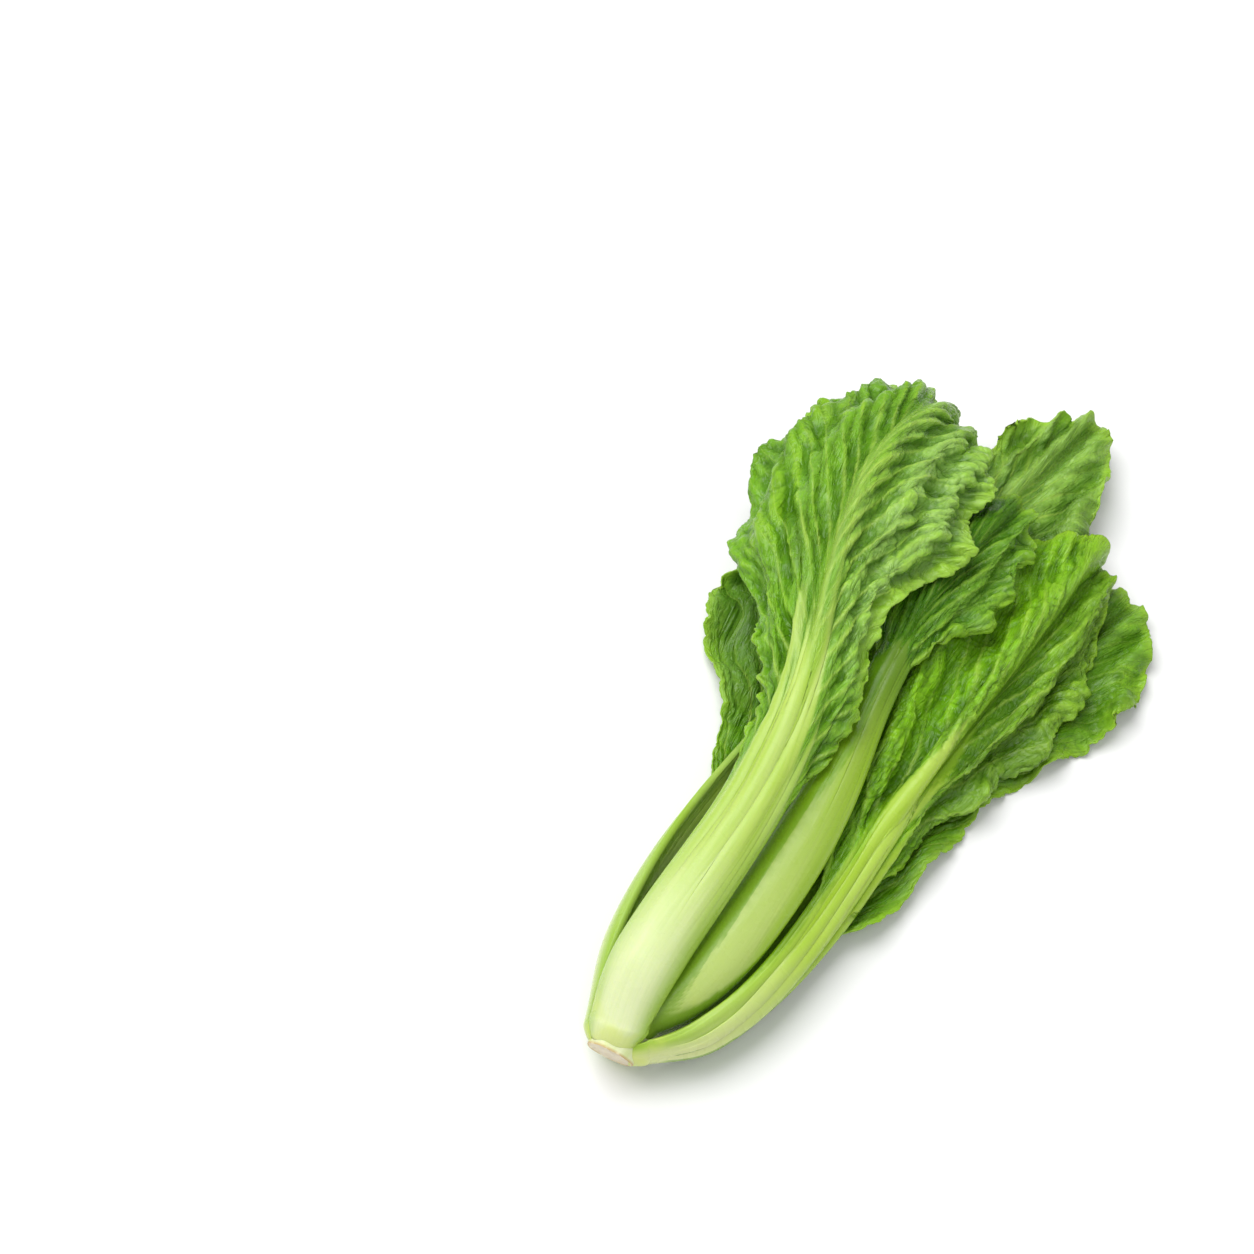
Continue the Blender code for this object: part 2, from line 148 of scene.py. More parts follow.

# Marks that a leaf's finish reads. The creases' mark and the depth among the leaves carry painted shade,
# the relief's rise a painted highlight on crests, and the far mark partly a painted sheen on the right half
MARKS = ("green", "margin", "web", "crease_shade", "age", "inside", "far", "shading_rise", "side", "groove", "deep")


def limited(t: Array) -> Array:
    """Values kept from 0 to 1."""
    return np.clip(t, 0.0, 1.0)


def smooth(t: Array) -> Array:
    """Soft step from 0 to 1 as t goes from 0 to 1: 3 t squared less 2 t cubed."""
    t = limited(t)
    return t * t * (3.0 - 2.0 * t)


def unit(vectors: Array) -> Array:
    """Vectors of length 1 in the same directions."""
    return vectors / np.maximum(np.linalg.norm(vectors, axis=-1, keepdims=True), 1e-12)


def spline(rows: tuple, count: int) -> Array:
    """Uniform cubic B-spline along rows of numbers, from the first row to the last.

    Args:
        rows: the control rows.
        count: how many rows to return.

    Returns:
        The rows of the curve: each is a blend of four control rows by the cubic basis.
    """
    table = np.asarray(rows, float)
    table = np.vstack([2.0 * table[0] - table[1], table, 2.0 * table[-1] - table[-2]])
    x = np.linspace(0.0, len(table) - 3 - 1e-9, count)
    i = x.astype(int)
    t = (x - i)[:, None]
    blend = (
        (1.0 - t) ** 3 * table[i]
        + (3.0 * t**3 - 6.0 * t**2 + 4.0) * table[i + 1]
        + (-3.0 * t**3 + 3.0 * t**2 + 3.0 * t + 1.0) * table[i + 2]
        + t**3 * table[i + 3]
    )
    return blend / 6.0


def chance(i: Array, j: Array, seed: int) -> Array:
    """A number from 0 to 1 for each pair of whole numbers, always the same one: an integer hash.

    Args:
        i: first number of each pair.
        j: second number of each pair.
        seed: number of the table.

    Returns:
        The numbers.
    """
    h = (i.astype(np.int64) * 374761393 + j.astype(np.int64) * 668265263 + seed * 974634777) & 0xFFFFFFFF
    h = ((h ^ (h >> 13)) * 1274126177) & 0xFFFFFFFF
    h = ((h ^ (h >> 16)) * 1103515245) & 0xFFFFFFFF
    return ((h ^ (h >> 15)) & 0xFFFFFF) / float(0xFFFFFF)


def noise(x: Array, y: Array, seed: int) -> Array:
    """Smooth random waves of about -1 to 1, one for each step of x and y.

    Each corner of a unit square has a random slope; the four planes are blended by soft steps.

    Args:
        x: places along one axis, in steps.
        y: places along the other axis, in steps.
        seed: number of the table.

    Returns:
        The height of the waves at each place.
    """
    i, j = np.floor(x), np.floor(y)
    fx, fy = x - i, y - j
    total = np.zeros(np.broadcast(x, y).shape)
    for di in (0, 1):
        for dj in (0, 1):
            turn = 2.0 * math.pi * chance(i + di, j + dj, seed)
            plane = np.cos(turn) * (fx - di) + np.sin(turn) * (fy - dj)
            wx = smooth(fx) if di else 1.0 - smooth(fx)
            wy = smooth(fy) if dj else 1.0 - smooth(fy)
            total = total + plane * wx * wy
    return total * 1.6


def fractal(x: Array, y: Array, seed: int) -> Array:
    """Noise with finer and weaker noise on it, twice as fine and half as high."""
    return noise(x, y, seed) + noise(x * 2.0, y * 2.0, seed + 17) * 0.5


def creased(x: Array, y: Array, seed: int) -> Array:
    """Rounded bumps between sharp creases, from about -0.7 to 1: twice the size of the noise, less 0.7."""
    return 2.0 * np.abs(noise(x, y, seed)) - 0.7


def outward(grid: Array) -> Array:
    """Unit normals of a grid of points, towards the outer side of the leaf: column step times row step."""
    return unit(np.cross(np.gradient(grid, axis=1), np.gradient(grid, axis=0)))


def catmull(nodes: Array, rows: Array, columns: Array) -> Array:
    """Smooth values between grid nodes: Catmull-Rom cubics along the rows, then along the columns.

    Args:
        nodes: values at the nodes.
        rows: row positions wanted, in node steps.
        columns: column positions wanted, in node steps.

    Returns:
        One value for each pair of a row and a column position.
    """

    def weights(at: Array, count: int) -> Array:
        """Cubic shares of the four nodes round each position.

        Args:
            at: positions wanted, in node steps.
            count: how many nodes there are.

        Returns:
            A row for each position, with the share that each node has in its value.
        """
        i = np.clip(np.floor(at).astype(int), 0, count - 2)
        t = at - i
        table = np.zeros((len(at), count))
        parts = (
            (-1, -0.5 * t + t**2 - 0.5 * t**3),
            (0, 1.0 - 2.5 * t**2 + 1.5 * t**3),
            (1, 0.5 * t + 2.0 * t**2 - 1.5 * t**3),
            (2, -0.5 * t**2 + 0.5 * t**3),
        )
        for step, part in parts:
            np.add.at(table, (np.arange(len(at)), np.clip(i + step, 0, count - 1)), part)
        return table

    return weights(rows, nodes.shape[0]) @ nodes @ weights(columns, nodes.shape[1]).T


@dataclass(frozen=True)
class Leaf:
    """Plain form of one leaf, on u from its root to its tip and v from its left margin to its right one.

    Left and right are as seen from the outer side with the tip away. A route row is a point of the midrib
    and the angle by which the outer side turns there from straight up towards the right of the route.

    blade, curl, wing, flare and fullest are pairs of a left and a right value: half width of the blade and
    of the wings beside the neck, angle of the section's arc in degrees, and the shares of the blade at which
    it begins to widen and is widest.
    """

    name: str
    route: tuple
    stalk_share: float
    root_half: float
    stalk_half: float
    blade: tuple
    stalk_thick: float
    root_curl: float
    stalk_curl: float
    curl: tuple
    wing: tuple
    flare: tuple
    fullest: tuple
    ruffle: float
    side_waves: float
    top_waves: float
    pleat: float
    pleats: float
    phase: float
    neck: float = 0.8
    rounding: float = 0.8

    def stalk_part(self, u: Array) -> Array:
        """Share of the bare stalk passed at u."""
        return limited(u / self.stalk_share)

    def blade_part(self, u: Array) -> Array:
        """Share of the blade passed at u."""
        return limited((u - self.stalk_share) / (1.0 - self.stalk_share))

    def grid(self, stalk_rows: int, blade_rows: int, columns: int) -> tuple:
        """u and v on a grid with these many steps.

        Args:
            stalk_rows: steps along the stalk.
            blade_rows: steps along the blade.
            columns: steps across.

        Returns:
            u and v of each point.
        """
        stalk = np.linspace(0.0, self.stalk_share, stalk_rows + 1)[:-1]
        blade = np.linspace(self.stalk_share, 1.0, blade_rows + 1)
        return np.meshgrid(np.concatenate([stalk, blade]), np.linspace(-1.0, 1.0, columns + 1), indexing="ij")

    def of_side(self, v: Array, pair: tuple) -> Array:
        """The pair's left value where v is on the left, its right one elsewhere."""
        return np.where(v < 0.0, *pair)

    def stalk_width(self, u: Array) -> Array:
        """Half width of the stalk: it swells from the root and narrows to the neck under the blade.

        Args:
            u: share of the length at each point.

        Returns:
            The half width at each u.
        """
        a = self.stalk_part(u)
        swell = self.root_half + (self.stalk_half - self.root_half) * smooth(a / 0.30)
        return swell * (1.0 - (1.0 - self.neck) * smooth((a - 0.45) / 0.55))

    def rib_half(self, u: Array) -> Array:
        """Half width of the fleshy rib: the whole stalk, then a midrib that fades along the blade."""
        return MIDRIB_HALF + (self.stalk_width(u) - MIDRIB_HALF) * (1.0 - self.blade_part(u)) ** 1.6

    def half_width(self, u: Array, v: Array) -> Array:
        """Distance from the midrib to the margin: stalk, wings, then the flare of the blade and its tip.

        Args:
            u: share of the length at each point.
            v: share of the half width at each point, from -1 to 1.

        Returns:
            The distance at each point.
        """
        t = self.blade_part(u)
        blade, wing = self.of_side(v, self.blade), self.of_side(v, self.wing)
        flare, fullest = self.of_side(v, self.flare), self.of_side(v, self.fullest)
        grow = smooth((t - flare) / (fullest - flare))
        close = 1.0 - 0.30 * smooth((t - fullest) / (1.0 - fullest))
        spread = (blade - self.stalk_half * self.neck - wing) * grow * close
        return self.stalk_width(u) + wing * smooth(t / 0.14) + spread

    def wave(self, u: Array, v: Array) -> Array:
        """Height of the large waves: ruffled margins, a waved top and pleats that run lengthwise.

        Args:
            u: share of the length at each point.
            v: share of the half width at each point, from -1 to 1.

        Returns:
            The height at each point.
        """
        t = self.blade_part(u)
        margin = smooth((np.abs(v) - 0.35) / 0.65) ** 1.3
        shift = self.of_side(v, (0.0, 1.7)) + self.phase
        side = margin * np.sin(2.0 * math.pi * self.side_waves * t + shift) * smooth(t / 0.25)
        top = smooth((u - 0.80) / 0.20) * np.sin(2.0 * math.pi * self.top_waves * v + self.phase)
        top = top * (1.0 - 0.7 * margin)
        fold = np.cos(math.pi * self.pleats * v + 0.6 * self.phase) * smooth(t / 0.4)
        fold = fold * (1.0 - 0.4 * smooth((t - 0.75) / 0.25))
        left, right = self.half_width(u, -np.abs(v) - 1e-9), self.half_width(u, np.abs(v))
        turn = smooth((v + 0.25) / 0.50)
        breadth = left / self.blade[0] * (1.0 - turn) + right / self.blade[1] * turn
        return (self.ruffle * (side + 0.8 * top) + self.pleat * fold) * breadth

    def path(self) -> tuple:
        """Lengths, points, outer directions and directions to the right along the route.

        Returns:
            Four tables with a row for each sample of the route.
        """
        rows = spline(self.route, CURVE_SAMPLES)
        points = rows[:, :3]
        steps = np.linalg.norm(np.diff(points, axis=0), axis=1)
        lengths = np.concatenate([[0.0], np.cumsum(steps)])
        tangent = unit(np.gradient(points, lengths, axis=0))
        side = unit(np.cross(tangent, (0.0, 0.0, 1.0)))
        up = np.cross(side, tangent)
        facing = np.radians(rows[:, 3])[:, None]
        outer = up * np.cos(facing) + side * np.sin(facing)
        return lengths, points, outer, np.cross(tangent, outer)

    def along(self, u: Array, v: Array) -> Array:
        """Distance along the midrib: at the tip the margins lag behind by a parabola, which rounds it."""
        lag = self.rounding * self.of_side(v, self.blade) * self.blade_part(u) ** 1.6
        return u * self.path()[0][-1] - lag * v**2

    def surface(self, u: Array, v: Array, half: Array, along: Array) -> Array:
        """Middle surface of the leaf: an arc of the curl's angle across, with the waves square to it.

        Args:
            u: share of the length.
            v: share of the half width, from -1 to 1.
            half: half width at each point.
            along: distance along the midrib at each point.

        Returns:
            The points, before the leaf is laid on others.
        """
        lengths, points, outer, right = self.path()
        centre, out, across = (
            np.stack([np.interp(along, lengths, table[:, k]) for k in range(3)], -1)
            for table in (points, outer, right)
        )
        out, across = unit(out), unit(across)
        stalk = self.root_curl + (self.stalk_curl - self.root_curl) * smooth(self.stalk_part(u) / 0.4)
        blade = self.of_side(v, self.curl)
        bend = np.radians(stalk + (blade - stalk) * smooth(self.blade_part(u) / 0.6)) / half
        angle = (bend * half * v)[..., None]
        bend = bend[..., None]
        arc = across * np.sin(angle) / bend - out * (1.0 - np.cos(angle)) / bend
        return centre + arc + (out * np.cos(angle) + across * np.sin(angle)) * self.wave(u, v)[..., None]

    def thickness(self, u: Array, v: Array, blade: float = BLADE_THICK) -> Array:
        """Thickness: the crown of the stalk and midrib over the thin blade.

        Args:
            u: share of the length at each point.
            v: share of the half width at each point, from -1 to 1.
            blade: thickness of the blade.

        Returns:
            The thickness at each point.
        """
        a, t = self.stalk_part(u), self.blade_part(u)
        body = self.stalk_thick * (0.42 + 0.58 * smooth(a / 0.25)) * (1.0 - 0.40 * smooth((a - 0.4) / 0.6))
        crown = limited(1.0 - (np.abs(v) * self.half_width(u, v) / self.rib_half(u)) ** 2.2)
        edge = (STALK_EDGE_THICK - blade) * (1.0 - smooth(t / 0.12)) * smooth(a / 0.2 + 0.2) + blade
        middle = body * (1.0 - t) ** 0.9 + MIDRIB_THICK * smooth(t / 0.3)
        return edge + limited(middle - edge) * crown


@dataclass(frozen=True)
class Relief:
    """What stands on one leaf's plain form. Lengths in metres.

    Veins: side veins leave the midrib vein_step apart, and one has run vein_reach times the square root of x
    forward where it is x from the midrib. Cross veins are cross_step apart.

    Pale bundle of streaks: bundle_end is the share of the blade at which it has run out, fan how much it
    spreads on the way, fray how far its streaks stand apart, wander how far the middle line of the veins
    strays to the right there, and core how pale the midrib stays beyond.

    Heights: fold is the depth of the folds between two veins as a share of the gap. crumple, swirl, swell
    and blister are creased bumps along the veins, small winding creases, broad swellings, and domes between
    cross veins. rib is the lengthwise ribs, rib_width their width, and rib_late how much they wait for the
    neck. A valley is a deep lengthwise crease: distance from the midrib, where along it begins and ends, and
    depth, all with one half width.

    Margin: ruffle is the height of the waves, from the share ruffle_from of the blade on, and tooth and
    tooth_step are the height and width of a tooth.

    Foot: foot_in and foot_shrink are the shares by which its last row sinks towards the stem's axis and
    narrows, and foot_back how far it steps back.
    """

    vein_step: float = 0.016
    vein_reach: float = 0.60
    cross_step: float = 0.0075
    bundle_end: float = 0.60
    fan: float = 0.8
    fray: float = 0.35
    wander: float = 0.0
    core: float = 0.20
    fold: float = 0.18
    crumple: float = 0.0006
    swirl: float = 0.00025
    swell: float = 0.0010
    blister: float = 0.0004
    rib: float = 0.00030
    rib_width: float = 0.0034
    rib_late: float = 1.0
    valleys: tuple = ()
    valley_half: float = 0.0024
    ruffle: float = 0.0028
    ruffle_from: float = 0.0
    tooth: float = 0.0022
    tooth_step: float = 0.0090
    foot_in: float = 0.44
    foot_shrink: float = 0.22
    foot_back: float = 0.0062
    seed: int = 1

    def waves(self, x: Array, y: Array, number: int) -> Array:
        """One of this leaf's own fields of noise."""
        return noise(x, y, self.seed + number)

    def lot(self, i: Array, j: Array, number: int) -> Array:
        """One of this leaf's own tables of random numbers."""
        return chance(i, j, self.seed + number)


class Veins:
    """Side veins of one leaf: where each grid point lies among them.

    A point's flow is the number of the vein that passes through it: its distance along the midrib, less
    what the vein has run forward, over the step between veins, bent a little at random. Between two veins,
    numbered k and k + 1, a weaker one forks off and runs out midway.

    Attributes:
        flow: the flow.
        run: how far along its vein a point is.
        width: distance between the veins or forks on its two sides.
        edge: 0 at a vein or fork, 1 midway between two.
        main, fork, cross: distance to the nearest vein, fork and cross vein.
        rung: share passed from one cross vein to the next.
        field: a random number for each field between them.
    """

    def __init__(self, relief: Relief, along: Array, off: Array, half: Array) -> None:
        """Works out the attributes for each point.

        Args:
            relief: the leaf's relief.
            along: distance along the midrib of each point.
            off: signed distance from the midrib of each point.
            half: half width of the leaf at each point.
        """
        x = np.abs(off)
        side = np.where(off < 0.0, 1, 2)
        root = np.sqrt(x + VEIN_SOFT)
        flow = (along - relief.vein_reach * (root - VEIN_SOFT_ROOT)) / relief.vein_step
        flow = flow + np.where(off < 0.0, 0.5, 0.0)
        flow = flow + 0.30 * relief.waves(flow * 0.7, side * 7.3 + 0.5, 1)
        stray = 0.34 * relief.waves(along / 0.034, off / 0.022, 2)
        stray = stray + 0.16 * relief.waves(along / 0.014, off / 0.010, 8)
        self.flow = flow + stray * smooth(x / 0.02)
        number = np.floor(self.flow)
        r = self.flow - number
        gap = relief.vein_step / np.sqrt(1.0 + (relief.vein_reach * 0.5 / root) ** 2)
        first = half * (0.30 + 0.35 * relief.lot(number, side, 3))
        fork = 0.5 * smooth((x - first) / (0.40 * half))
        fork = np.where(relief.lot(number, side, 4) < 0.5, fork, 1.0 - fork)
        forked = x > first
        low = np.where(forked & (r > fork), fork, 0.0)
        high = np.where(forked & (r <= fork), fork, 1.0)
        width = np.maximum(high - low, 1e-3)
        self.edge = 1.0 - np.abs(2.0 * (r - low) / width - 1.0)
        self.width = width * gap
        self.main = np.minimum(r, 1.0 - r) * gap
        self.fork = np.where(forked, np.abs(r - fork) * gap, 1.0)
        self.run = relief.vein_reach * root + 0.5 * x
        lean = np.where(relief.lot(number, side, 5) < 0.5, 0.9, -0.9)
        rung = self.run / relief.cross_step + lean * r + 0.25 * relief.waves(along / 0.012, off / 0.012, 6)
        step = np.floor(rung)
        self.rung = rung - step
        self.cross = np.minimum(self.rung, 1.0 - self.rung) * relief.cross_step
        self.field = relief.lot(number * 3 + side, step, 7)


@dataclass
class Skin:
    """One leaf's fine faces and what the finish needs at each of their points."""

    outer: Array
    inner: Array
    plan: Array
    flow: Array
    marks: dict


def between(nodes: Array, step: int) -> Array:
    """Values on a grid that is step times finer, along straight lines, so never under the lower node.

    Args:
        nodes: values at the nodes.
        step: fine steps to one of the nodes.

    Returns:
        The values on the finer grid.
    """
    rows, columns = ((count - 1) * step + 1 for count in nodes.shape)
    x, y = np.arange(rows) / step, np.arange(columns) / step
    wide = np.stack([np.interp(x, np.arange(len(nodes)), column) for column in nodes.T], 1)
    return np.stack([np.interp(y, np.arange(nodes.shape[1]), row) for row in wide])


def finer(grid: Array) -> Array:
    """The grid of points with MAP_SAMPLES steps, along straight lines, for each of its own."""
    return np.stack([between(grid[..., k], MAP_SAMPLES) for k in range(3)], -1)


def neighbours(array: Array) -> list:
    """The nine shifted copies of an array that hold each cell's neighbours and the cell itself.

    Args:
        array: the array.

    Returns:
        The copies, row by row, with the array's own edge repeated outside it.
    """
    padded = np.pad(array, 1, mode="edge")
    rows, columns = array.shape
    return [padded[i:i + rows, j:j + columns] for i in range(3) for j in range(3)]


def pressed_flat(outer: Array, inner: Array, least: float) -> tuple:
    """The two faces with nothing below the surface: what would sink into it is pressed flat.

    Args:
        outer: points of the outer face.
        inner: points of the inner face.
        least: least height of the upper face over the lower one.

    Returns:
        The outer and the inner face.
    """
    down = outer[..., 2:3] < inner[..., 2:3]
    low, high = np.where(down, outer, inner), np.where(down, inner, outer)
    low[..., 2] = np.maximum(low[..., 2], 0.0)
    high[..., 2] = np.maximum(high[..., 2], low[..., 2] + least)
    return np.where(down, low, high), np.where(down, high, low)


class Heights:
    """Map, seen from above, of the height that the leaves laid so far reach."""

    def __init__(self, air: float) -> None:
        """An empty map. air is what is left free between two leaves."""
        self.air = air
        self.map = np.full(MAP_SHAPE, NOTHING_YET)

    def cells(self, points: Array) -> tuple:
        """Row and column in the map of each point."""
        cells = np.floor((points[..., :2] - np.array(MAP_LOW)) / MAP_CELL).astype(int)
        return np.clip(cells[..., 0], 0, MAP_SHAPE[0] - 1), np.clip(cells[..., 1], 0, MAP_SHAPE[1] - 1)

    def add(self, points: Array) -> None:
        """Raises the map to a face's points."""
        np.maximum.at(self.map, self.cells(points), points[..., 2])

    def deep_shade_of(self, points: Array) -> Array:
        """How deep points lie in the creases among the leaves, from 0 to 1: it is painted on them as shade.

        It is the mean, over lines through a point, of the summed slopes up to the map on its two sides.

        Args:
            points: the points.

        Returns:
            The depth of each point.
        """
        row, column = self.cells(points)
        total = np.zeros(points.shape[:2])
        for reach in SHADE_REACHES:
            for angle in np.linspace(0.0, math.pi, SHADE_LINES, endpoint=False):
                shading_rise = 0.0
                for way in (-reach, reach):
                    i = np.clip(row + round(way * math.cos(angle)), 0, MAP_SHAPE[0] - 1)
                    j = np.clip(column + round(way * math.sin(angle)), 0, MAP_SHAPE[1] - 1)
                    slope = (self.map[i, j] - points[..., 2]) / (reach * MAP_CELL)
                    shading_rise = shading_rise + np.clip(slope, -1.0, 1.0)
                total += limited(shading_rise)
        return total / (SHADE_LINES * len(SHADE_REACHES))

    def lift_over(self, faces: tuple, step: int) -> Array:
        """Lift that carries two faces over all that the map holds.

        Args:
            faces: outer and inner face, as fine grids of points.
            step: how many fine steps there are to one of the nodes.

        Returns:
            The lift at the nodes. A node takes the highest lift that the squares round it need, and the lift
            then fades softly over the leaf.
        """
        ceiling = np.max(neighbours(self.map), axis=0) + self.air
        need = np.full(faces[0].shape[:2], NOTHING_YET)
        for face in faces:
            need = np.maximum(need, ceiling[self.cells(face)] - face[..., 2])
        rows, columns = ((count - 1) // step + 1 for count in need.shape)
        least = np.zeros((rows, columns))
        for i in range(rows):
            for j in range(columns):
                low_i, low_j = max(0, (i - 1) * step), max(0, (j - 1) * step)
                window = need[low_i:(i + 1) * step + 1, low_j:(j + 1) * step + 1]
                least[i, j] = max(0.0, window.max())
        lift = least
        for _ in range(LIFT_SPREAD):
            around = neighbours(lift)
            mean = (around[1] + around[3] + around[5] + around[7]) / 4.0
            lift = np.maximum(least, mean * LIFT_FADE)
        return lift


def srgb(red: int, green: int, blue: int) -> tuple:
    """Linear colour with full alpha of an 8-bit screen colour: the usual 2.4 power curve."""
    parts = [c / 255.0 for c in (red, green, blue)]
    return tuple(c / 12.92 if c <= 0.04045 else ((c + 0.055) / 1.055) ** 2.4 for c in parts) + (1.0,)


class Wiring:
    """Places and links shader nodes in one node tree."""

    def __init__(self, tree: bpy.types.NodeTree) -> None:
        """Takes the material's or the group's node tree."""
        self.tree = tree

    def put(self, socket: Socket, value: object) -> None:
        """Links a socket to the input, or sets a plain value on it.

        Args:
            socket: the input.
            value: another node's output or a plain value.
        """
        if isinstance(value, Socket):
            self.tree.links.new(value, socket)
        else:
            socket.default_value = value

    def node(self, kind: str, values: dict | None = None, **settings: object) -> bpy.types.Node:
        """A new node of a kind, with its settings, and its inputs set or linked by name or number.

        Args:
            kind: the node's type without its prefix.
            values: inputs by name or number.
            settings: the node's own settings.

        Returns:
            The node.
        """
        node = self.tree.nodes.new("ShaderNode" + kind)
        for name, value in settings.items():
            setattr(node, name, value)
        for name, value in (values or {}).items():
            self.put(node.inputs[name], value)
        return node

    def maths(self, operation: str, *values: object, clamp: bool = False) -> Socket:
        """Result of a Math node."""
        return self.node("Math", dict(enumerate(values)), operation=operation, use_clamp=clamp).outputs[0]

    def times(self, *values: object) -> Socket:
        """Product of two or more values.

        Args:
            values: outputs or numbers.

        Returns:
            The product.
        """
        result = values[0]
        for value in values[1:]:
            result = self.maths("MULTIPLY", result, value)
        return result

    def vector(self, operation: str, *values: object) -> Socket:
        """Result of a Vector Math node."""
        return self.node("VectorMath", dict(enumerate(values)), operation=operation).outputs[0]

    def mix(self, share: object, first: object, second: object) -> Socket:
        """Colour between two colours. The numbers are the colour sockets of the Mix node."""
        return self.node("Mix", {0: share, 6: first, 7: second}, data_type="RGBA").outputs[2]

    def layered(self, colour: object, *layers: tuple) -> Socket:
        """A colour with others laid over it in turn, each a pair of a share and a colour.

        Args:
            colour: the lowest colour.
            layers: the pairs, from the lowest to the top one.

        Returns:
            The resulting colour.
        """
        for share, over in layers:
            colour = self.mix(share, colour, over)
        return colour

    def ramp(self, value: object, low: float, high: float, start: float = 0.0, end: float = 1.0) -> Socket:
        """A value eased from one range, low to high, to another, start to end, and kept inside it."""
        ranges = {"Value": value, "From Min": low, "From Max": high, "To Min": start, "To Max": end}
        return self.node("MapRange", ranges, interpolation_type="SMOOTHSTEP").outputs[0]

    def mark(self, name: str) -> Socket:
        """Value of one of the mesh's marks."""
        return self.node("Attribute", attribute_name=name).outputs["Fac"]

    def map(self, name: str) -> Socket:
        """Place on one of the mesh's maps."""
        return self.node("UVMap", uv_map=name).outputs[0]

    def noise(self, vector: object, scale: float, detail: float, rough: float = 0.5) -> Socket:
        """Noise from about 0 to 1."""
        values = {"Vector": vector, "Scale": scale, "Detail": detail, "Roughness": rough}
        return self.node("TexNoise", values).outputs[0]

    def stretched(self, start: bpy.types.Node) -> Socket:
        """A group's input vector, drawn out by its inputs Across and Along."""
        scales = self.node("CombineXYZ", {"X": start.outputs["Across"], "Y": start.outputs["Along"]})
        return self.vector("MULTIPLY", start.outputs["Vector"], scales.outputs[0])

    def bump(self, shader: bpy.types.Node, height: object) -> None:
        """Gives the shader a bump whose height is in metres."""
        bump = self.node("Bump", {"Height": height, "Strength": 1.0, "Distance": 1.0})
        self.put(shader.inputs["Normal"], bump.outputs[0])


def make_group(name: str, across: float, along: float, outputs: tuple) -> tuple:
    """A node group that takes a vector and two stretches, before its own nodes are placed.

    Args:
        name: the group's name.
        across: its usual stretch in x.
        along: its usual stretch in y.
        outputs: names of the values that it puts out.

    Returns:
        The group, its wiring, its input node and its output node.
    """
    group = bpy.data.node_groups.new(name, "ShaderNodeTree")
    group.interface.new_socket(name="Vector", in_out="INPUT", socket_type="NodeSocketVector")
    for label, value in (("Across", across), ("Along", along)):
        socket = group.interface.new_socket(name=label, in_out="INPUT", socket_type="NodeSocketFloat")
        socket.default_value = value
    for label in outputs:
        group.interface.new_socket(name=label, in_out="OUTPUT", socket_type="NodeSocketFloat")
    return group, Wiring(group), group.nodes.new("NodeGroupInput"), group.nodes.new("NodeGroupOutput")


def crinkle_group() -> bpy.types.NodeTree:
    """Creased skin: bumps with sharp creases between them, the size of noise less its middle, in two sizes.

    The map it reads runs across the veins in x and along them in y, so the bumps are drawn out along the
    veins. Puts out a height in bumps and a mask that is 1 in the creases, where the blade gets painted shade.

    Returns:
        The node group.
    """
    group, wire, start, end = make_group("crinkles", 3.6, 210.0, ("Height", "Crease"))
    at = wire.stretched(start)
    bent = wire.node("TexNoise", {"Vector": at, "Scale": 0.6, "Detail": 1.0}).outputs["Color"]
    at = wire.vector("ADD", at, wire.vector("MULTIPLY", bent, (2.4, 2.4, 0.0)))
    heights, creases = [], []
    for size, share in ((1.0, 1.0), (2.3, 0.45)):
        bump = wire.maths("ABSOLUTE", wire.maths("MULTIPLY_ADD", wire.noise(at, size, 0.0), 4.0, -2.0))
        creases.append(wire.times(wire.maths("SUBTRACT", 1.0, wire.ramp(bump, 0.0, 0.35)), share))
        heights.append(wire.times(bump, share))
    wire.put(end.inputs["Height"], wire.maths("ADD", *heights))
    wire.put(end.inputs["Crease"], wire.maths("MAXIMUM", *creases))
    return group


def flesh_grain_group() -> bpy.types.NodeTree:
    """Grain of fleshy stalk and stem: long fibres that run along the map, and broad soft patches.

    Puts out the fibres and the patches, each from 0 to 1, and a height for the bump.

    Returns:
        The node group.
    """
    group, wire, start, end = make_group("flesh grain", 900.0, 28.0, ("Fibres", "Patches", "Height"))
    at = wire.stretched(start)
    fibres = wire.noise(at, 1.0, 3.0, 0.6)
    broad = wire.noise(wire.vector("MULTIPLY", at, (0.22, 0.5, 1.0)), 1.0, 2.0)
    wire.put(end.inputs["Fibres"], wire.ramp(fibres, 0.32, 0.68))
    wire.put(end.inputs["Patches"], wire.ramp(broad, 0.32, 0.70))
    wire.put(end.inputs["Height"], wire.maths("ADD", fibres, wire.times(broad, 1.5)))
    return group


def new_material(name: str, glow: tuple) -> tuple:
    """A material of flesh that lets some light through.

    Args:
        name: the material's name.
        glow: weight, colour reach and scale of the light that spreads under the skin.

    Returns:
        The material, its wiring and its shader.
    """
    material = bpy.data.materials.new(name)
    material.use_nodes = True
    shader = material.node_tree.nodes["Principled BSDF"]
    for part, value in zip(("Weight", "Radius", "Scale"), glow):
        shader.inputs["Subsurface " + part].default_value = value
    return material, Wiring(material.node_tree), shader


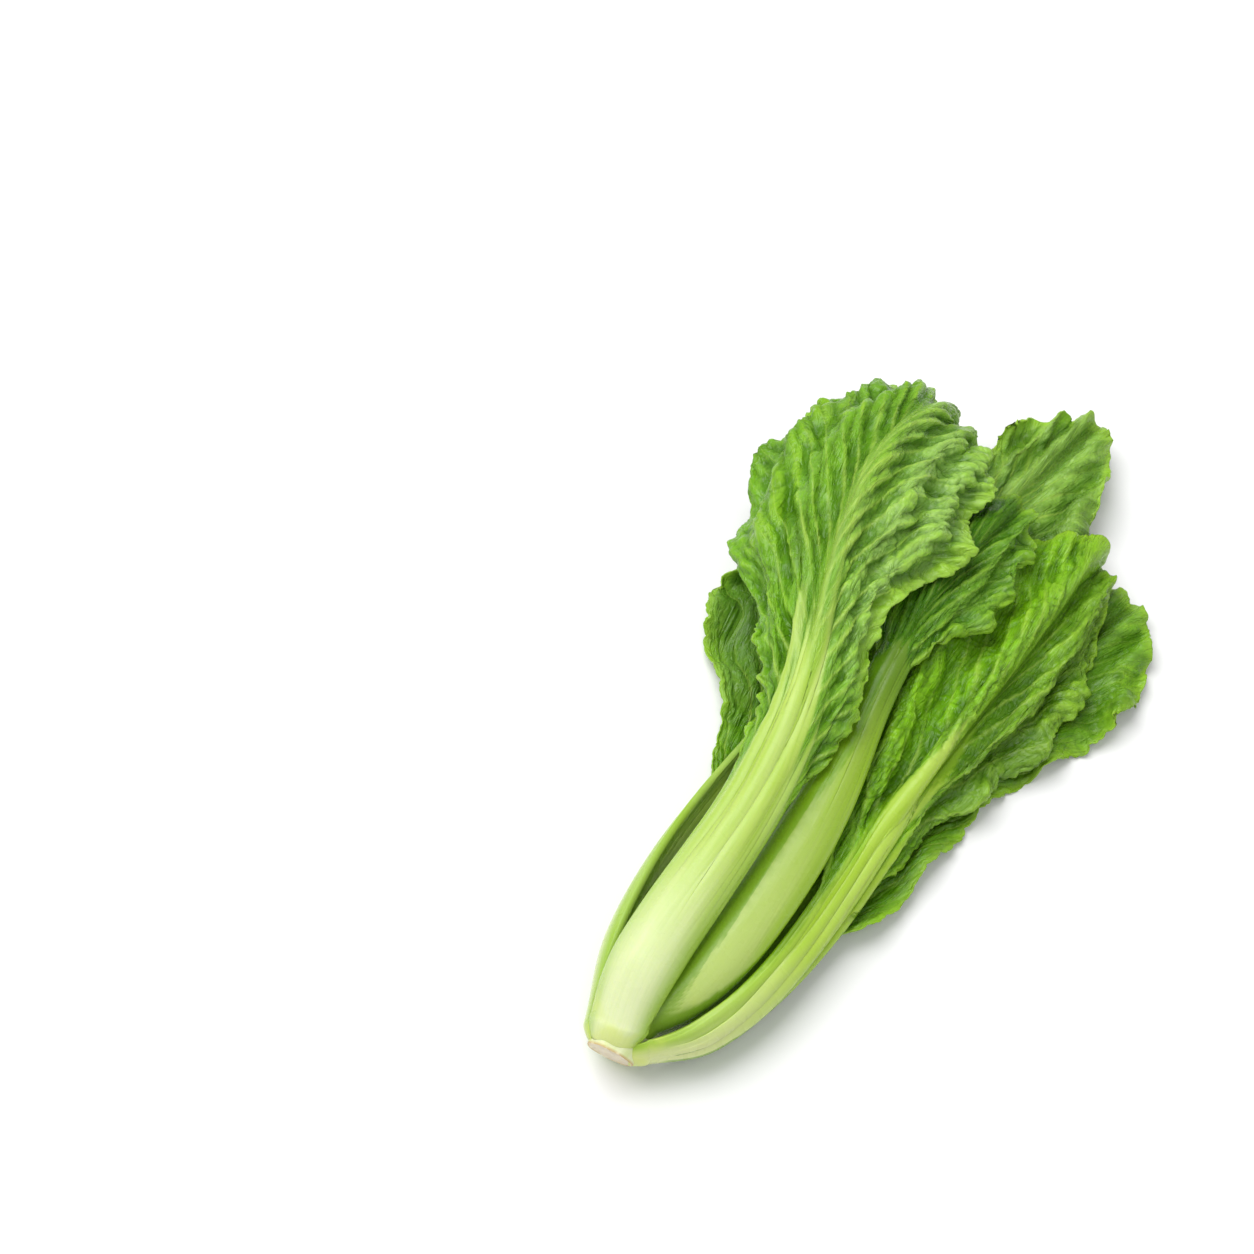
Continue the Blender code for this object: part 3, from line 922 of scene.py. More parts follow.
@dataclass(frozen=True)
class LeafFinish:
    """Finish of one leaf: satin skin over flesh that lets some light through. Colours are linear.

    near is the blade's colour, and the far colour the one that its far mark blends in: greyer towards the
    tip, and a painted sheen on the right half. inner is that of its inner side. The crests' colour is a
    painted highlight, and the dark colour is painted shade in the creases, deep among the leaves and at the
    neck, as well as the leaf's own darker mottling. The stalk's colours are for its lower and upper part, its
    flanks and grooves, its root, and painted shade where it lies deep among the leaves, and the neck's share
    is how much painted shadow it gets under the blade. Veins of the given step and reach show by vein_show.
    Their width falls from vein_wide to vein_fine on the way out to vein_fine_from, and is at most vein_most
    over their steepness. roughness and bumps are for stalk and blade, and the bumps are heights in metres.
    """

    near: tuple = srgb(100, 164, 2)
    far: tuple = srgb(154, 197, 100)
    crest_highlight: tuple = srgb(150, 204, 40)
    shade_and_mottle: tuple = srgb(36, 90, 0)
    inner: tuple = srgb(96, 164, 2)
    pale: tuple = srgb(190, 222, 100)
    margin: tuple = srgb(160, 206, 52)
    stalk_low: tuple = srgb(226, 235, 184)
    stalk_high: tuple = srgb(182, 209, 98)
    stalk_side: tuple = srgb(146, 188, 22)
    stalk_root: tuple = srgb(214, 228, 110)
    stalk_deep_shade: tuple = srgb(112, 158, 6)
    vein_step: float = 0.016
    vein_reach: float = 0.60
    vein_show: float = 0.65
    vein_wide: float = 0.0011
    vein_fine: float = 0.00034
    vein_fine_from: float = 0.045
    vein_most: float = 0.0036
    vein_bump: float = 0.00025
    neck_shadow: float = 0.0
    roughness: tuple = (0.28, 0.25)
    bumps: tuple = (0.00008, 0.00034)
    specular: float = 0.26
    glow: tuple = (0.20, (0.8, 1.0, 0.15), 0.0022)

    def vein_lines(self, wire: Wiring, number: Socket, off: Socket, patches: Socket, age: Socket) -> Socket:
        """Mask of the side veins, drawn sharp: distance from a whole number of the flow, against a width.

        It fades in patches, away from the midrib and at the tip.

        Args:
            wire: the material's wiring.
            number: the flow.
            off: distance from the midrib.
            patches: broad noise over the leaf.
            age: the mark that runs from root to tip.

        Returns:
            The mask.
        """
        share = wire.maths("FRACT", number)
        near = wire.maths("MINIMUM", share, wire.maths("SUBTRACT", 1.0, share))
        root = wire.maths("SQRT", wire.maths("ADD", off, VEIN_SOFT))
        slope = wire.maths("DIVIDE", self.vein_reach / 2.0, root)
        steep = wire.maths("SQRT", wire.maths("ADD", 1.0, wire.maths("POWER", slope, 2.0)))
        distance = wire.times(near, wire.maths("DIVIDE", self.vein_step, steep))
        width = wire.ramp(off, 0.0, self.vein_fine_from, self.vein_wide, self.vein_fine)
        width = wire.maths("MINIMUM", width, wire.maths("DIVIDE", self.vein_most, steep))
        line = wire.maths("SUBTRACT", 1.0, wire.maths("DIVIDE", distance, width), clamp=True)
        fade = (
            wire.ramp(patches, 0.30, 0.62, 0.25, 1.0),
            wire.ramp(off, 0.008, 0.036, 1.0, 0.40),
            wire.ramp(age, 0.86, 0.97, 1.0, 0.25),
        )
        return wire.times(line, *fade)

    def blade(self, wire: Wiring, marks: dict, line: Socket, patches: Socket, folded: Socket) -> Socket:
        """Colour of the blade: mottled green, greyer towards the tip and paler at the margin, with a painted
        highlight on its crests, painted shade in its creases and deep among the leaves, and a painted sheen
        on its right half.

        Args:
            wire: the material's wiring.
            marks: the marks' sockets, by name.
            line: mask of the side veins.
            patches: broad noise over the leaf.
            folded: mask of the crinkles' creases, which get painted shade.

        Returns:
            The colour.
        """
        # Mask of the creases and crinkles, for painted shade
        sunk = wire.maths("MAXIMUM", marks["crease_shade"], wire.times(folded, 0.25))
        veined = wire.maths("MAXIMUM", wire.times(line, self.vein_show), wire.times(marks["web"], 0.12))
        return wire.layered(
            self.near,
            # Greyer towards the tip, and a painted sheen on the right half
            (marks["far"], self.far),
            (wire.times(marks["inside"], 0.5), self.inner),
            # Painted highlight on the crests
            (wire.ramp(marks["shading_rise"], 0.45, 0.85, 0.0, 0.45), self.crest_highlight),
            # The leaf's own darker mottling
            (wire.ramp(patches, 0.45, 0.75, 0.0, 0.40), self.shade_and_mottle),
            # Painted shade in the creases and crinkles
            (wire.times(sunk, 0.72), self.shade_and_mottle),
            # Painted shade deep among the leaves
            (wire.ramp(marks["deep"], 0.12, 0.55, 0.0, 0.45), self.shade_and_mottle),
            (veined, self.pale),
            (wire.times(marks["margin"], 0.5), self.margin),
        )

    def stalk(self, wire: Wiring, marks: dict, flesh: bpy.types.Node, patches: Socket) -> Socket:
        """Colour of the stalk: pale, greener upwards and on its flanks, with fibres and a blotched root,
        painted shade deep among the leaves, and where it is set a painted shadow under the blade.

        Args:
            wire: the material's wiring.
            marks: the marks' sockets, by name.
            flesh: the grain's node.
            patches: broad noise over the leaf.

        Returns:
            The colour.
        """
        age = marks["age"]
        blotch = wire.times(wire.ramp(patches, 0.44, 0.60), wire.ramp(age, 0.0, 0.07, 0.55, 0.0))
        return wire.layered(
            self.stalk_low,
            (wire.ramp(age, 0.0, 0.42), self.stalk_high),
            (wire.times(marks["side"], 0.90), self.stalk_side),
            (wire.times(marks["groove"], 0.62), self.stalk_side),
            (wire.times(flesh.outputs["Fibres"], wire.ramp(age, 0.15, 0.55, 0.10, 0.40)), self.stalk_side),
            (wire.times(flesh.outputs["Patches"], 0.20), self.stalk_low),
            (blotch, self.stalk_root),
            # Painted shade where the stalk lies deep among the leaves
            (wire.ramp(marks["deep"], 0.10, 0.54, 0.0, 0.80), self.stalk_deep_shade),
            # Painted shadow of the blade over the neck
            (wire.ramp(age, 0.34, 0.50, 0.0, self.neck_shadow), self.shade_and_mottle),
        )

    def make(self, name: str, crinkles: bpy.types.NodeTree, grain: bpy.types.NodeTree) -> bpy.types.Material:
        """The material, wired from the mesh's marks and maps and the two shared groups.

        Args:
            name: the new material's name.
            crinkles: the node group of creased skin.
            grain: the node group of fleshy grain.

        Returns:
            The material.
        """
        material, wire, shader = new_material(name, self.glow)
        marks = {mark: wire.mark(mark) for mark in MARKS}
        green = marks["green"]
        plan, flow = wire.map("plan"), wire.map("flow")
        folds = wire.node("Group", {"Vector": flow}, node_tree=crinkles)
        flesh = wire.node("Group", {"Vector": plan}, node_tree=grain)
        number = wire.node("SeparateXYZ", {"Vector": flow}).outputs["X"]
        off = wire.maths("ABSOLUTE", wire.node("SeparateXYZ", {"Vector": plan}).outputs["X"])
        patches = wire.noise(plan, 42.0, 3.0, 0.55)
        line = self.vein_lines(wire, number, off, patches, marks["age"])
        blade = self.blade(wire, marks, line, patches, folds.outputs["Crease"])
        stalk = self.stalk(wire, marks, flesh, patches)
        wire.put(shader.inputs["Base Color"], wire.mix(green, stalk, blade))
        rough = wire.ramp(wire.noise(plan, 160.0, 2.0), 0.3, 0.7, -0.06, 0.06)
        rough = wire.maths("ADD", rough, wire.ramp(green, 0.0, 1.0, *self.roughness))
        wire.put(shader.inputs["Roughness"], rough)
        fleshy = wire.maths("SUBTRACT", 1.0, green)
        height = wire.maths(
            "ADD",
            wire.times(folds.outputs["Height"], green, self.bumps[1]),
            wire.times(flesh.outputs["Height"], fleshy, self.bumps[0]),
        )
        wire.bump(shader, wire.maths("ADD", height, wire.times(line, green, self.vein_bump)))
        shader.inputs["Specular IOR Level"].default_value = self.specular
        return material


def dress(mesh: bpy.types.Mesh, maps: dict, marks: dict) -> None:
    """Puts what the finish needs on a mesh and smooths it.

    Args:
        mesh: the mesh.
        maps: by name, a place on a map for each point.
        marks: by name, a value for each point.
    """
    corners = np.zeros(len(mesh.loops), np.int32)
    mesh.loops.foreach_get("vertex_index", corners)
    for name, pairs in maps.items():
        uv = pairs.reshape(-1, 2)[corners].astype(np.float32)
        mesh.uv_layers.new(name=name).data.foreach_set("uv", uv.ravel())
    for name, values in marks.items():
        mesh.attributes.new(name, "FLOAT", "POINT").data.foreach_set("value", values.astype(np.float32))
    mesh.shade_smooth()


def place(name: str, data: bpy.types.ID) -> bpy.types.Object:
    """A new object in the scene.

    Args:
        name: its name.
        data: its mesh, lamp or camera.

    Returns:
        The object.
    """
    placed = bpy.data.objects.new(name, data)
    bpy.context.scene.collection.objects.link(placed)
    return placed


@dataclass
class LeafPiece:
    """One leaf with its relief and finish.

    stalk_rows, blade_rows and columns are the steps of its fine grid. In the methods, u and v are shares of
    the length and of the half width, along and off distances along and from the midrib.
    """

    form: Leaf
    relief: Relief
    stalk_rows: int
    blade_rows: int
    columns: int
    finish: LeafFinish

    def coarse_lift(self, heights: Heights) -> Array:
        """Lays the plain leaf as the source does, on the source's own grid.

        Args:
            heights: map of the plain leaves below, to which this one is added.

        Returns:
            The lift at the grid's nodes.
        """
        form = self.form
        u, v = form.grid(STALK_ROWS, BLADE_ROWS, COLUMNS)
        middle = form.surface(u, v, form.half_width(u, v), form.along(u, v))
        half = form.thickness(u, v)[..., None] / 2.0
        out = outward(middle) * half
        lift = heights.lift_over((finer(middle + out), finer(middle - out)), MAP_SAMPLES)
        middle[..., 2] += lift * smooth(form.stalk_part(u) / FREE_STALK)
        out = outward(middle) * half
        for face in pressed_flat(middle + out, middle - out, SOLID_LEAST_THICK):
            heights.add(finer(face))
        return lift

    def teeth(self, at: Array, number: int) -> Array:
        """Toothed edge along a margin: rounded lobes with narrow notches, and small ones on them, uneven.

        Args:
            at: distance along the margin of each point.
            number: which of the leaf's own noises bends it.

        Returns:
            How far the margin stands out at each point.
        """
        relief = self.relief
        x = at / relief.tooth_step
        x = x + 0.35 * relief.waves(x * 0.6, np.full_like(x, 0.5), number)
        lobes = np.abs(np.sin(math.pi * x)) ** 0.6 - 0.7
        small = np.abs(np.sin(math.pi * x * 2.7 + 0.6)) ** 0.7 - 0.6
        high = 0.65 + 0.45 * relief.waves(x * 0.45, np.full_like(x, 3.5), number + 1)
        return relief.tooth * (lobes + 0.35 * small) * high

    def spread(self, u: Array) -> Array:
        """Half width over which the streaks spread: the stalk's, which grows along the blade by the fan."""
        return self.form.stalk_width(u) * (1.0 + self.relief.fan * self.form.blade_part(u))

    def bundle(self, u: Array) -> Array:
        """Half width of the pale streaks: their spread, of which less and less is pale."""
        run_out = limited(1.0 - self.form.blade_part(u) / self.relief.bundle_end)
        return BUNDLE_LEAST + self.spread(u) * run_out**1.1

    def ridges(self, u: Array, along: Array, off: Array) -> Array:
        """Lengthwise ridges of about -1 to 1 that spread with the streaks: noise drawn out along the leaf.

        Args:
            u: share of the length at each point.
            along: distance along the midrib of each point.
            off: signed distance from the midrib of each point.

        Returns:
            The height of the ridges at each point.
        """
        relief = self.relief
        share = off / self.spread(u) * self.form.stalk_half / relief.rib_width
        wide = relief.waves(share, along / 0.12, 20)
        return wide + 0.45 * relief.waves(share * 2.1 + 0.4 * wide, along / 0.07, 21)

    def vein_heights(self, taper: Array, veins: Veins) -> tuple:
        """Height of all veins as thin bell curves, and a mask of the fine ones.

        A main vein is wide and high where taper is 1, near the midrib, and fine at the margin.

        Args:
            taper: 1 at the midrib, 0 at the margin.
            veins: where each point lies among the side veins.

        Returns:
            The height and the mask.
        """
        half = VEIN_HALF + VEIN_HALF_MORE * taper**1.5
        main = np.exp(-((veins.main / half) ** 2)) * (VEIN_RISE + VEIN_RISE_MORE * taper)
        fork = np.exp(-((veins.fork / FINE_VEIN_HALF) ** 2)) * FORK_RISE
        cross = np.exp(-((veins.cross / FINE_VEIN_HALF) ** 2)) * CROSS_RISE * smooth(veins.edge / 0.3)
        return main + fork + cross, np.maximum(fork, cross) / FORK_RISE

    def crumples(self, along: Array, off: Array, veins: Veins) -> tuple:
        """Height of bumps drawn out along the veins and of winding creases, and a mask of their creases,
        which the blade gets as painted shade.

        Args:
            along: distance along the midrib of each point.
            off: signed distance from the midrib of each point.
            veins: where each point lies among the side veins.

        Returns:
            The height and the mask.
        """
        relief = self.relief
        bent = 0.6 * relief.waves(along / 0.017, off / 0.017, 12)
        coarse = creased(veins.flow * 1.35 + bent, veins.run / 0.018 + bent, relief.seed + 13)
        small = creased(veins.flow * 2.8 - bent, veins.run / 0.0075 + bent, relief.seed + 14)
        wind = 1.3 * fractal(along / 0.011, off / 0.011, relief.seed + 23)
        swirls = creased(along / 0.0085 + wind, off / 0.0055 - wind, relief.seed + 24)
        crease_shade = 0.6 * smooth((-0.25 - coarse) / 0.45) + 0.35 * smooth((-0.3 - swirls) / 0.4)
        return relief.crumple * (coarse + 0.5 * small) + relief.swirl * swirls, crease_shade

    def valleys(self, along: Array, off: Array) -> Array:
        """Depth of the valleys: each is a narrow trough that strays a little and begins and ends softly.

        Args:
            along: distance along the midrib of each point.
            off: signed distance from the midrib of each point.

        Returns:
            The depth at each point.
        """
        relief = self.relief
        depth = np.zeros_like(along)
        stray = 0.0012 * relief.waves(along / 0.03, 0.0 * along + 0.5, 25)
        for at, begin, end, deep in relief.valleys:
            reach = smooth((along - begin) / 0.02) * (1.0 - smooth((along - end + 0.03) / 0.03))
            across = np.abs((off - at - stray) / relief.valley_half)
            depth = depth + deep * reach * np.exp(-(across**1.5))
        return depth

    def ruffles(self, u: Array, along: Array, off: Array, to_margin: Array) -> Array:
        """Waves that grow over the last two centimetres to the side margins, and at the tip.

        Args:
            u: share of the length at each point.
            along: distance along the midrib of each point.
            off: signed distance from the midrib of each point.
            to_margin: distance to the side margin of each point.

        Returns:
            The height at each point.
        """
        relief = self.relief
        rim = (1.0 - smooth(to_margin / RUFFLE_REACH)) ** 1.3
        rim = rim * smooth((self.form.blade_part(u) - relief.ruffle_from) / 0.20)
        waves = relief.waves(along / RUFFLE_WAVE, np.sign(off) * 5.5, 16)
        waves = waves + 0.4 * relief.waves(along / 0.0048, off / 0.02, 17)
        tip_waves = relief.waves(off / RUFFLE_WAVE, u * 0.0 + 2.5, 18)
        tip_waves = tip_waves + 0.4 * relief.waves(off / 0.0045, u * 9.0, 19)
        return relief.ruffle * (rim * waves + smooth((u - 0.92) / 0.08) * tip_waves)

    def heights_of(self, u: Array, v: Array, along: Array, off: Array, veins: Veins) -> tuple:
        """Height of the relief over the plain form, along the outer normal, and its masks.

        Between two veins the skin falls from a broad crest to a narrow crease, by the gap times the fold's
        share times a power of the closeness to the crease. Blisters sink as domes between the cross veins,
        swellings are broad noise, and ribs stand along the stalk. All but the ruffles and the valleys begin
        where the pale bundle ends, and the ribs fade there.

        Args:
            u: share of the length at each point.
            v: share of the half width at each point, from -1 to 1.
            along: distance along the midrib of each point.
            off: signed distance from the midrib of each point.
            veins: where each point lies among the side veins.

        Returns:
            Height, mask of the fine veins, and depth of the creases, which the blade gets as painted shade.
        """
        form, relief = self.form, self.relief
        t, a = form.blade_part(u), form.stalk_part(u)
        half, bundle = form.half_width(u, v), self.bundle(u)
        x = np.minimum(np.abs(off), half)
        blade = smooth((x - 0.75 * bundle) / (0.35 * bundle + 0.004)) * smooth(t / 0.06)
        uneven = np.clip(1.0 + 0.9 * relief.waves(veins.flow * 0.9, veins.run / 0.05, 11), 0.15, 1.8)
        fold = -relief.fold * veins.width * veins.edge**2.0 * uneven
        vein, web = self.vein_heights(limited(1.0 - x / half), veins)
        dome = np.sqrt(limited(veins.edge) * limited(np.sin(math.pi * veins.rung)))
        blister = -relief.blister * dome * (0.4 + veins.field)
        crumple, crumple_crease_shade = self.crumples(along, off, veins)
        swell = relief.swell * fractal(along / 0.030, off / 0.022, relief.seed + 15)
        grown = 1.0 - relief.rib_late * (1.0 - smooth((a - 0.25) / 0.75))
        ribs = relief.rib * grown * self.ridges(u, along, off) * (1.0 - 0.8 * blade) * smooth(a / 0.2)
        valley = self.valleys(along, off)
        height = blade * (fold + vein + blister + crumple + swell) + ribs - valley
        height = height + self.ruffles(u, along, off, half - x)
        # Mask of the creases along the veins, among the crumples and in the valleys, for painted shade
        crease_shade = blade * (0.6 * veins.edge**3 * uneven + crumple_crease_shade)
        crease_shade = crease_shade + np.minimum(valley / VALLEY_FULL, 1.0) ** 2 * smooth(t / 0.2)
        return height, limited(web * blade), limited(crease_shade)

    def thickness(self, u: Array, v: Array) -> Array:
        """Thickness of the fine leaf: the source's, with a thinner blade and a midrib that ends sooner.

        Args:
            u: share of the length at each point.
            v: share of the half width at each point, from -1 to 1.

        Returns:
            The thickness at each point.
        """
        t = self.form.blade_part(u)
        blade = STALK_EDGE_THICK + (FINE_BLADE - STALK_EDGE_THICK) * smooth(t / 0.12)
        whole = self.form.thickness(u, v, FINE_BLADE)
        sunk = 0.75 * smooth((t - 0.05) / (0.9 * self.relief.bundle_end))
        return whole - limited(whole - blade) * sunk

    def fine_grid(self) -> tuple:
        """u and v of the fine grid, with a whole number of laying squares both ways."""
        rows = (self.stalk_rows + self.blade_rows) // FINE_BLOCK * FINE_BLOCK - self.stalk_rows
        return self.form.grid(self.stalk_rows, rows, self.columns // FINE_BLOCK * FINE_BLOCK)

    def toothed(self, u: Array, v: Array, along: Array, half: Array) -> Array:
        """Middle surface of the leaf whose half width and length end in teeth.

        Args:
            u: share of the length at each point.
            v: share of the half width at each point, from -1 to 1.
            along: distance along the midrib of each point.
            half: half width of the leaf at each point.

        Returns:
            The points, before the leaf is laid on others.
        """
        form = self.form
        lobes = self.teeth(along, 21) * smooth((np.abs(v) - TEETH_FROM) / (1.0 - TEETH_FROM))
        lobes = lobes * smooth((form.blade_part(u) - 0.02) / 0.15)
        half_toothed = half + np.where(v < 0.0, lobes, np.roll(lobes, 5, axis=0))
        along_toothed = along + self.teeth(half * v, 22) * smooth((u - 0.95) / 0.05)
        return form.surface(u, v, half_toothed, along_toothed)

    def skin(self, lift: Array, heights: Heights, axis: Array) -> Skin:
        """Fine faces of the leaf, laid on the source's lift and then clear of the fine leaves below it.

        Args:
            lift: the lift of the source's laying, at its nodes.
            heights: map of the fine leaves below.
            axis: a point on the stem's axis, which the foot of the leaf closes on.

        Returns:
            The faces, and what the finish needs.
        """
        form, relief = self.form, self.relief
        u, v = self.fine_grid()
        t, along, half = form.blade_part(u), form.along(u, v), form.half_width(u, v)
        middle = self.toothed(u, v, along, half)
        on_stalk = u[:, 0] / form.stalk_share * STALK_ROWS
        node_rows = np.where(u[:, 0] < form.stalk_share, on_stalk, STALK_ROWS + t[:, 0] * BLADE_ROWS)
        free = smooth(form.stalk_part(u) / FREE_STALK)
        middle[..., 2] += catmull(lift, node_rows, (v[0] + 1.0) / 2.0 * COLUMNS) * free
        stray = relief.wander * smooth((t - 0.12) / 0.3) * (1.0 - smooth((t - 0.75) / 0.25))
        off = half * v - stray
        veins = Veins(relief, along, off, half)
        height, web, crease_shade = self.heights_of(u, v, along, off, veins)
        middle = middle + outward(middle) * height[..., None]
        thick = self.thickness(u, v)[..., None] / 2.0
        out = outward(middle) * thick
        more = heights.lift_over((middle + out, middle - out), FINE_BLOCK)
        middle[..., 2] += between(more, FINE_BLOCK) * free
        out = outward(middle) * thick
        outer, inner = pressed_flat(middle + out, middle - out, LEAST_THICK)
        heights.add(outer)
        heights.add(inner)
        marks = self.marks_of(u, v, along, off)
        # The creases' mask is for painted shade, and the relief's height for a painted highlight on crests
        marks |= {"web": web, "crease_shade": crease_shade, "shading_rise": limited(0.5 + height / HIGHLIGHT_RANGE)}
        plan, flow = np.stack([off, along], -1), np.stack([veins.flow, veins.run], -1)
        return self.with_foot(Skin(outer, inner, plan, flow, marks), axis)

    def marks_of(self, u: Array, v: Array, along: Array, off: Array) -> dict:
        """Marks for the finish, each from 0 to 1.

        green is the blade against the pale bundle, which thins out into streaks along the veins. margin is
        the last few millimetres of the blade, age runs from root to tip, and the far mark grows towards the
        tip, where the blade is greyer, and towards the right margin as a painted sheen, which leaves the left
        half darker as painted shade. side is the flank of the stalk, and groove lies between its ridges.

        Args:
            u: share of the length at each point.
            v: share of the half width at each point, from -1 to 1.
            along: distance along the midrib of each point.
            off: signed distance from the midrib of each point.

        Returns:
            The marks by name.
        """
        form, relief = self.form, self.relief
        a, t, x = form.stalk_part(u), form.blade_part(u), np.abs(off)
        groove = -self.ridges(u, along, off)
        strands = 0.4 * relief.waves(off / 0.0018, along / 0.05, 32) - groove
        pale = 1.0 - x / self.spread(u) - t / relief.bundle_end + relief.fray * strands * smooth(t / 0.1)
        core = relief.core * np.exp(-((x / CORE_HALF) ** 2)) * (1.0 - t)
        green = 1.0 - smooth(0.5 + (np.maximum(pale, core) - 0.10) / 0.42)
        green = green * np.where(t > 0.0, 1.0, 0.5 * smooth((a - 0.8) / 0.2))
        edge = 1.0 - smooth((form.half_width(u, v) - x) / RIM_REACH)
        # Greyer towards the tip, and on the right half a painted sheen, so the left half stays darker as
        # painted shade
        right = 0.8 * smooth(2.2 * x / form.blade[1]) * smooth((t - 0.15) / 0.25)
        return {
            "green": green,
            "margin": np.maximum(edge, smooth((u - 0.975) / 0.025)) * smooth(t / 0.1),
            "age": a * 0.5 + t * 0.5,
            "far": limited(np.where(v < 0.0, 0.12 * t, 0.35 * t + right)),
            "groove": smooth(0.2 + 0.8 * groove) * smooth((a - 0.15) / 0.85),
            "side": smooth((x / form.stalk_width(u) - 0.30) / 0.65),
        }

    def with_foot(self, skin: Skin, axis: Array) -> Skin:
        """The skin with more rows at the root: each sinks towards the axis, narrows and steps back.

        Args:
            skin: the leaf's faces and marks.
            axis: a point on the stem's axis.

        Returns:
            The longer skin.
        """
        relief = self.relief
        f = (np.arange(FOOT_ROWS, 0, -1) / FOOT_ROWS)[:, None]
        facing = math.radians(self.form.route[0][3])
        out = np.array([math.sin(facing), 0.0, math.cos(facing)])
        across = np.array([math.cos(facing), 0.0, -math.sin(facing)])

        def longer(face: Array) -> Array:
            """The face with its foot, whose distances from the axis shrink by a power of the way back.

            Args:
                face: points of the face.

            Returns:
                The points with the foot's rows first.
            """
            reach = (face[0] - axis) @ out * (1.0 - relief.foot_in * f**1.5)
            aside = (face[0] - axis) @ across * (1.0 - relief.foot_shrink * f**1.5)
            foot = axis + reach[..., None] * out + aside[..., None] * across
            foot[..., 1] = face[0, :, 1] - relief.foot_back * f
            return np.concatenate([foot, face])

        def repeated(table: Array) -> Array:
            """The table with its first row repeated for the foot."""
            return np.concatenate([np.repeat(table[:1], FOOT_ROWS, axis=0), table])

        plan = repeated(skin.plan)
        plan[:FOOT_ROWS, :, 1] -= relief.foot_back * f
        marks = {name: repeated(mark) for name, mark in skin.marks.items()}
        return Skin(longer(skin.outer), longer(skin.inner), plan, repeated(skin.flow), marks)

    def mesh(self, skin: Skin) -> bpy.types.Mesh:
        """Closed mesh between the two faces, in four-sided faces, with its maps and marks.

        Args:
            skin: the leaf's faces and marks.

        Returns:
            The mesh.
        """
        rows, columns = skin.outer.shape[:2]
        count = rows * columns
        index = np.arange(count).reshape(rows, columns)
        low, high = index[:-1], index[1:]
        a, b, c, d = (part.ravel() for part in (low[:, :-1], high[:, :-1], high[:, 1:], low[:, 1:]))
        top = np.stack([a, d, c, b], 1)
        rim = np.concatenate([index[0, :-1], index[:-1, -1], index[-1, :0:-1], index[:0:-1, 0]])
        after = np.roll(rim, -1)
        edge = np.stack([rim, rim + count, after + count, after], 1)
        corners = np.concatenate([top, top[:, ::-1] + count, edge]).astype(np.int32)
        points = np.concatenate([skin.outer.reshape(-1, 3), skin.inner.reshape(-1, 3)])
        mesh = bpy.data.meshes.new(self.form.name + "_skin")
        mesh.vertices.add(len(points))
        mesh.vertices.foreach_set("co", points.astype(np.float32).ravel())
        mesh.loops.add(corners.size)
        mesh.loops.foreach_set("vertex_index", corners.ravel())
        mesh.polygons.add(len(corners))
        mesh.polygons.foreach_set("loop_start", np.arange(0, corners.size, 4, dtype=np.int32))
        mesh.update(calc_edges=True)
        marks = {name: np.tile(mark.ravel(), 2) for name, mark in skin.marks.items()}
        marks["inside"] = np.repeat([0.0, 1.0], count)
        dress(mesh, {"plan": np.stack([skin.plan] * 2), "flow": np.stack([skin.flow] * 2)}, marks)
        return mesh


@dataclass(frozen=True)
class StemFinish:
    """Finish of the cut stem: pale flesh, and a dry cut face with a browned rim. Colours are linear."""

    flesh: tuple = srgb(230, 236, 190)
    lime: tuple = srgb(206, 222, 134)
    face: tuple = srgb(238, 228, 202)
    spot: tuple = srgb(222, 204, 172)
    brown: tuple = srgb(194, 160, 104)
    roughness: tuple = (0.38, 0.75)
    bump: float = 0.0003
    glow: tuple = (0.25, (1.0, 0.9, 0.4), 0.003)

    def make(self, name: str, grain: bpy.types.NodeTree) -> bpy.types.Material:
        """The material, wired from the stem's marks and the shared grain.

        Args:
            name: the new material's name.
            grain: the node group of fleshy grain.

        Returns:
            The material.
        """
        material, wire, shader = new_material(name, self.glow)
        flesh = wire.node("Group", {"Vector": wire.map("plan")}, node_tree=grain)
        cut, ring = wire.mark("cut"), wire.mark("ring")
        spots = wire.noise(wire.node("TexCoord").outputs["Object"], 320.0, 4.0, 0.6)
        skin = wire.mix(wire.times(flesh.outputs["Patches"], 0.6), self.flesh, self.lime)
        face = wire.mix(wire.times(wire.ramp(spots, 0.4, 0.7), 0.5), self.face, self.spot)
        face = wire.mix(wire.times(ring, wire.ramp(spots, 0.25, 0.55)), face, self.brown)
        wire.put(shader.inputs["Base Color"], wire.mix(cut, skin, face))
        wire.put(shader.inputs["Roughness"], wire.ramp(cut, 0.0, 1.0, *self.roughness))
        wire.bump(shader, wire.times(spots, self.bump))
        return material


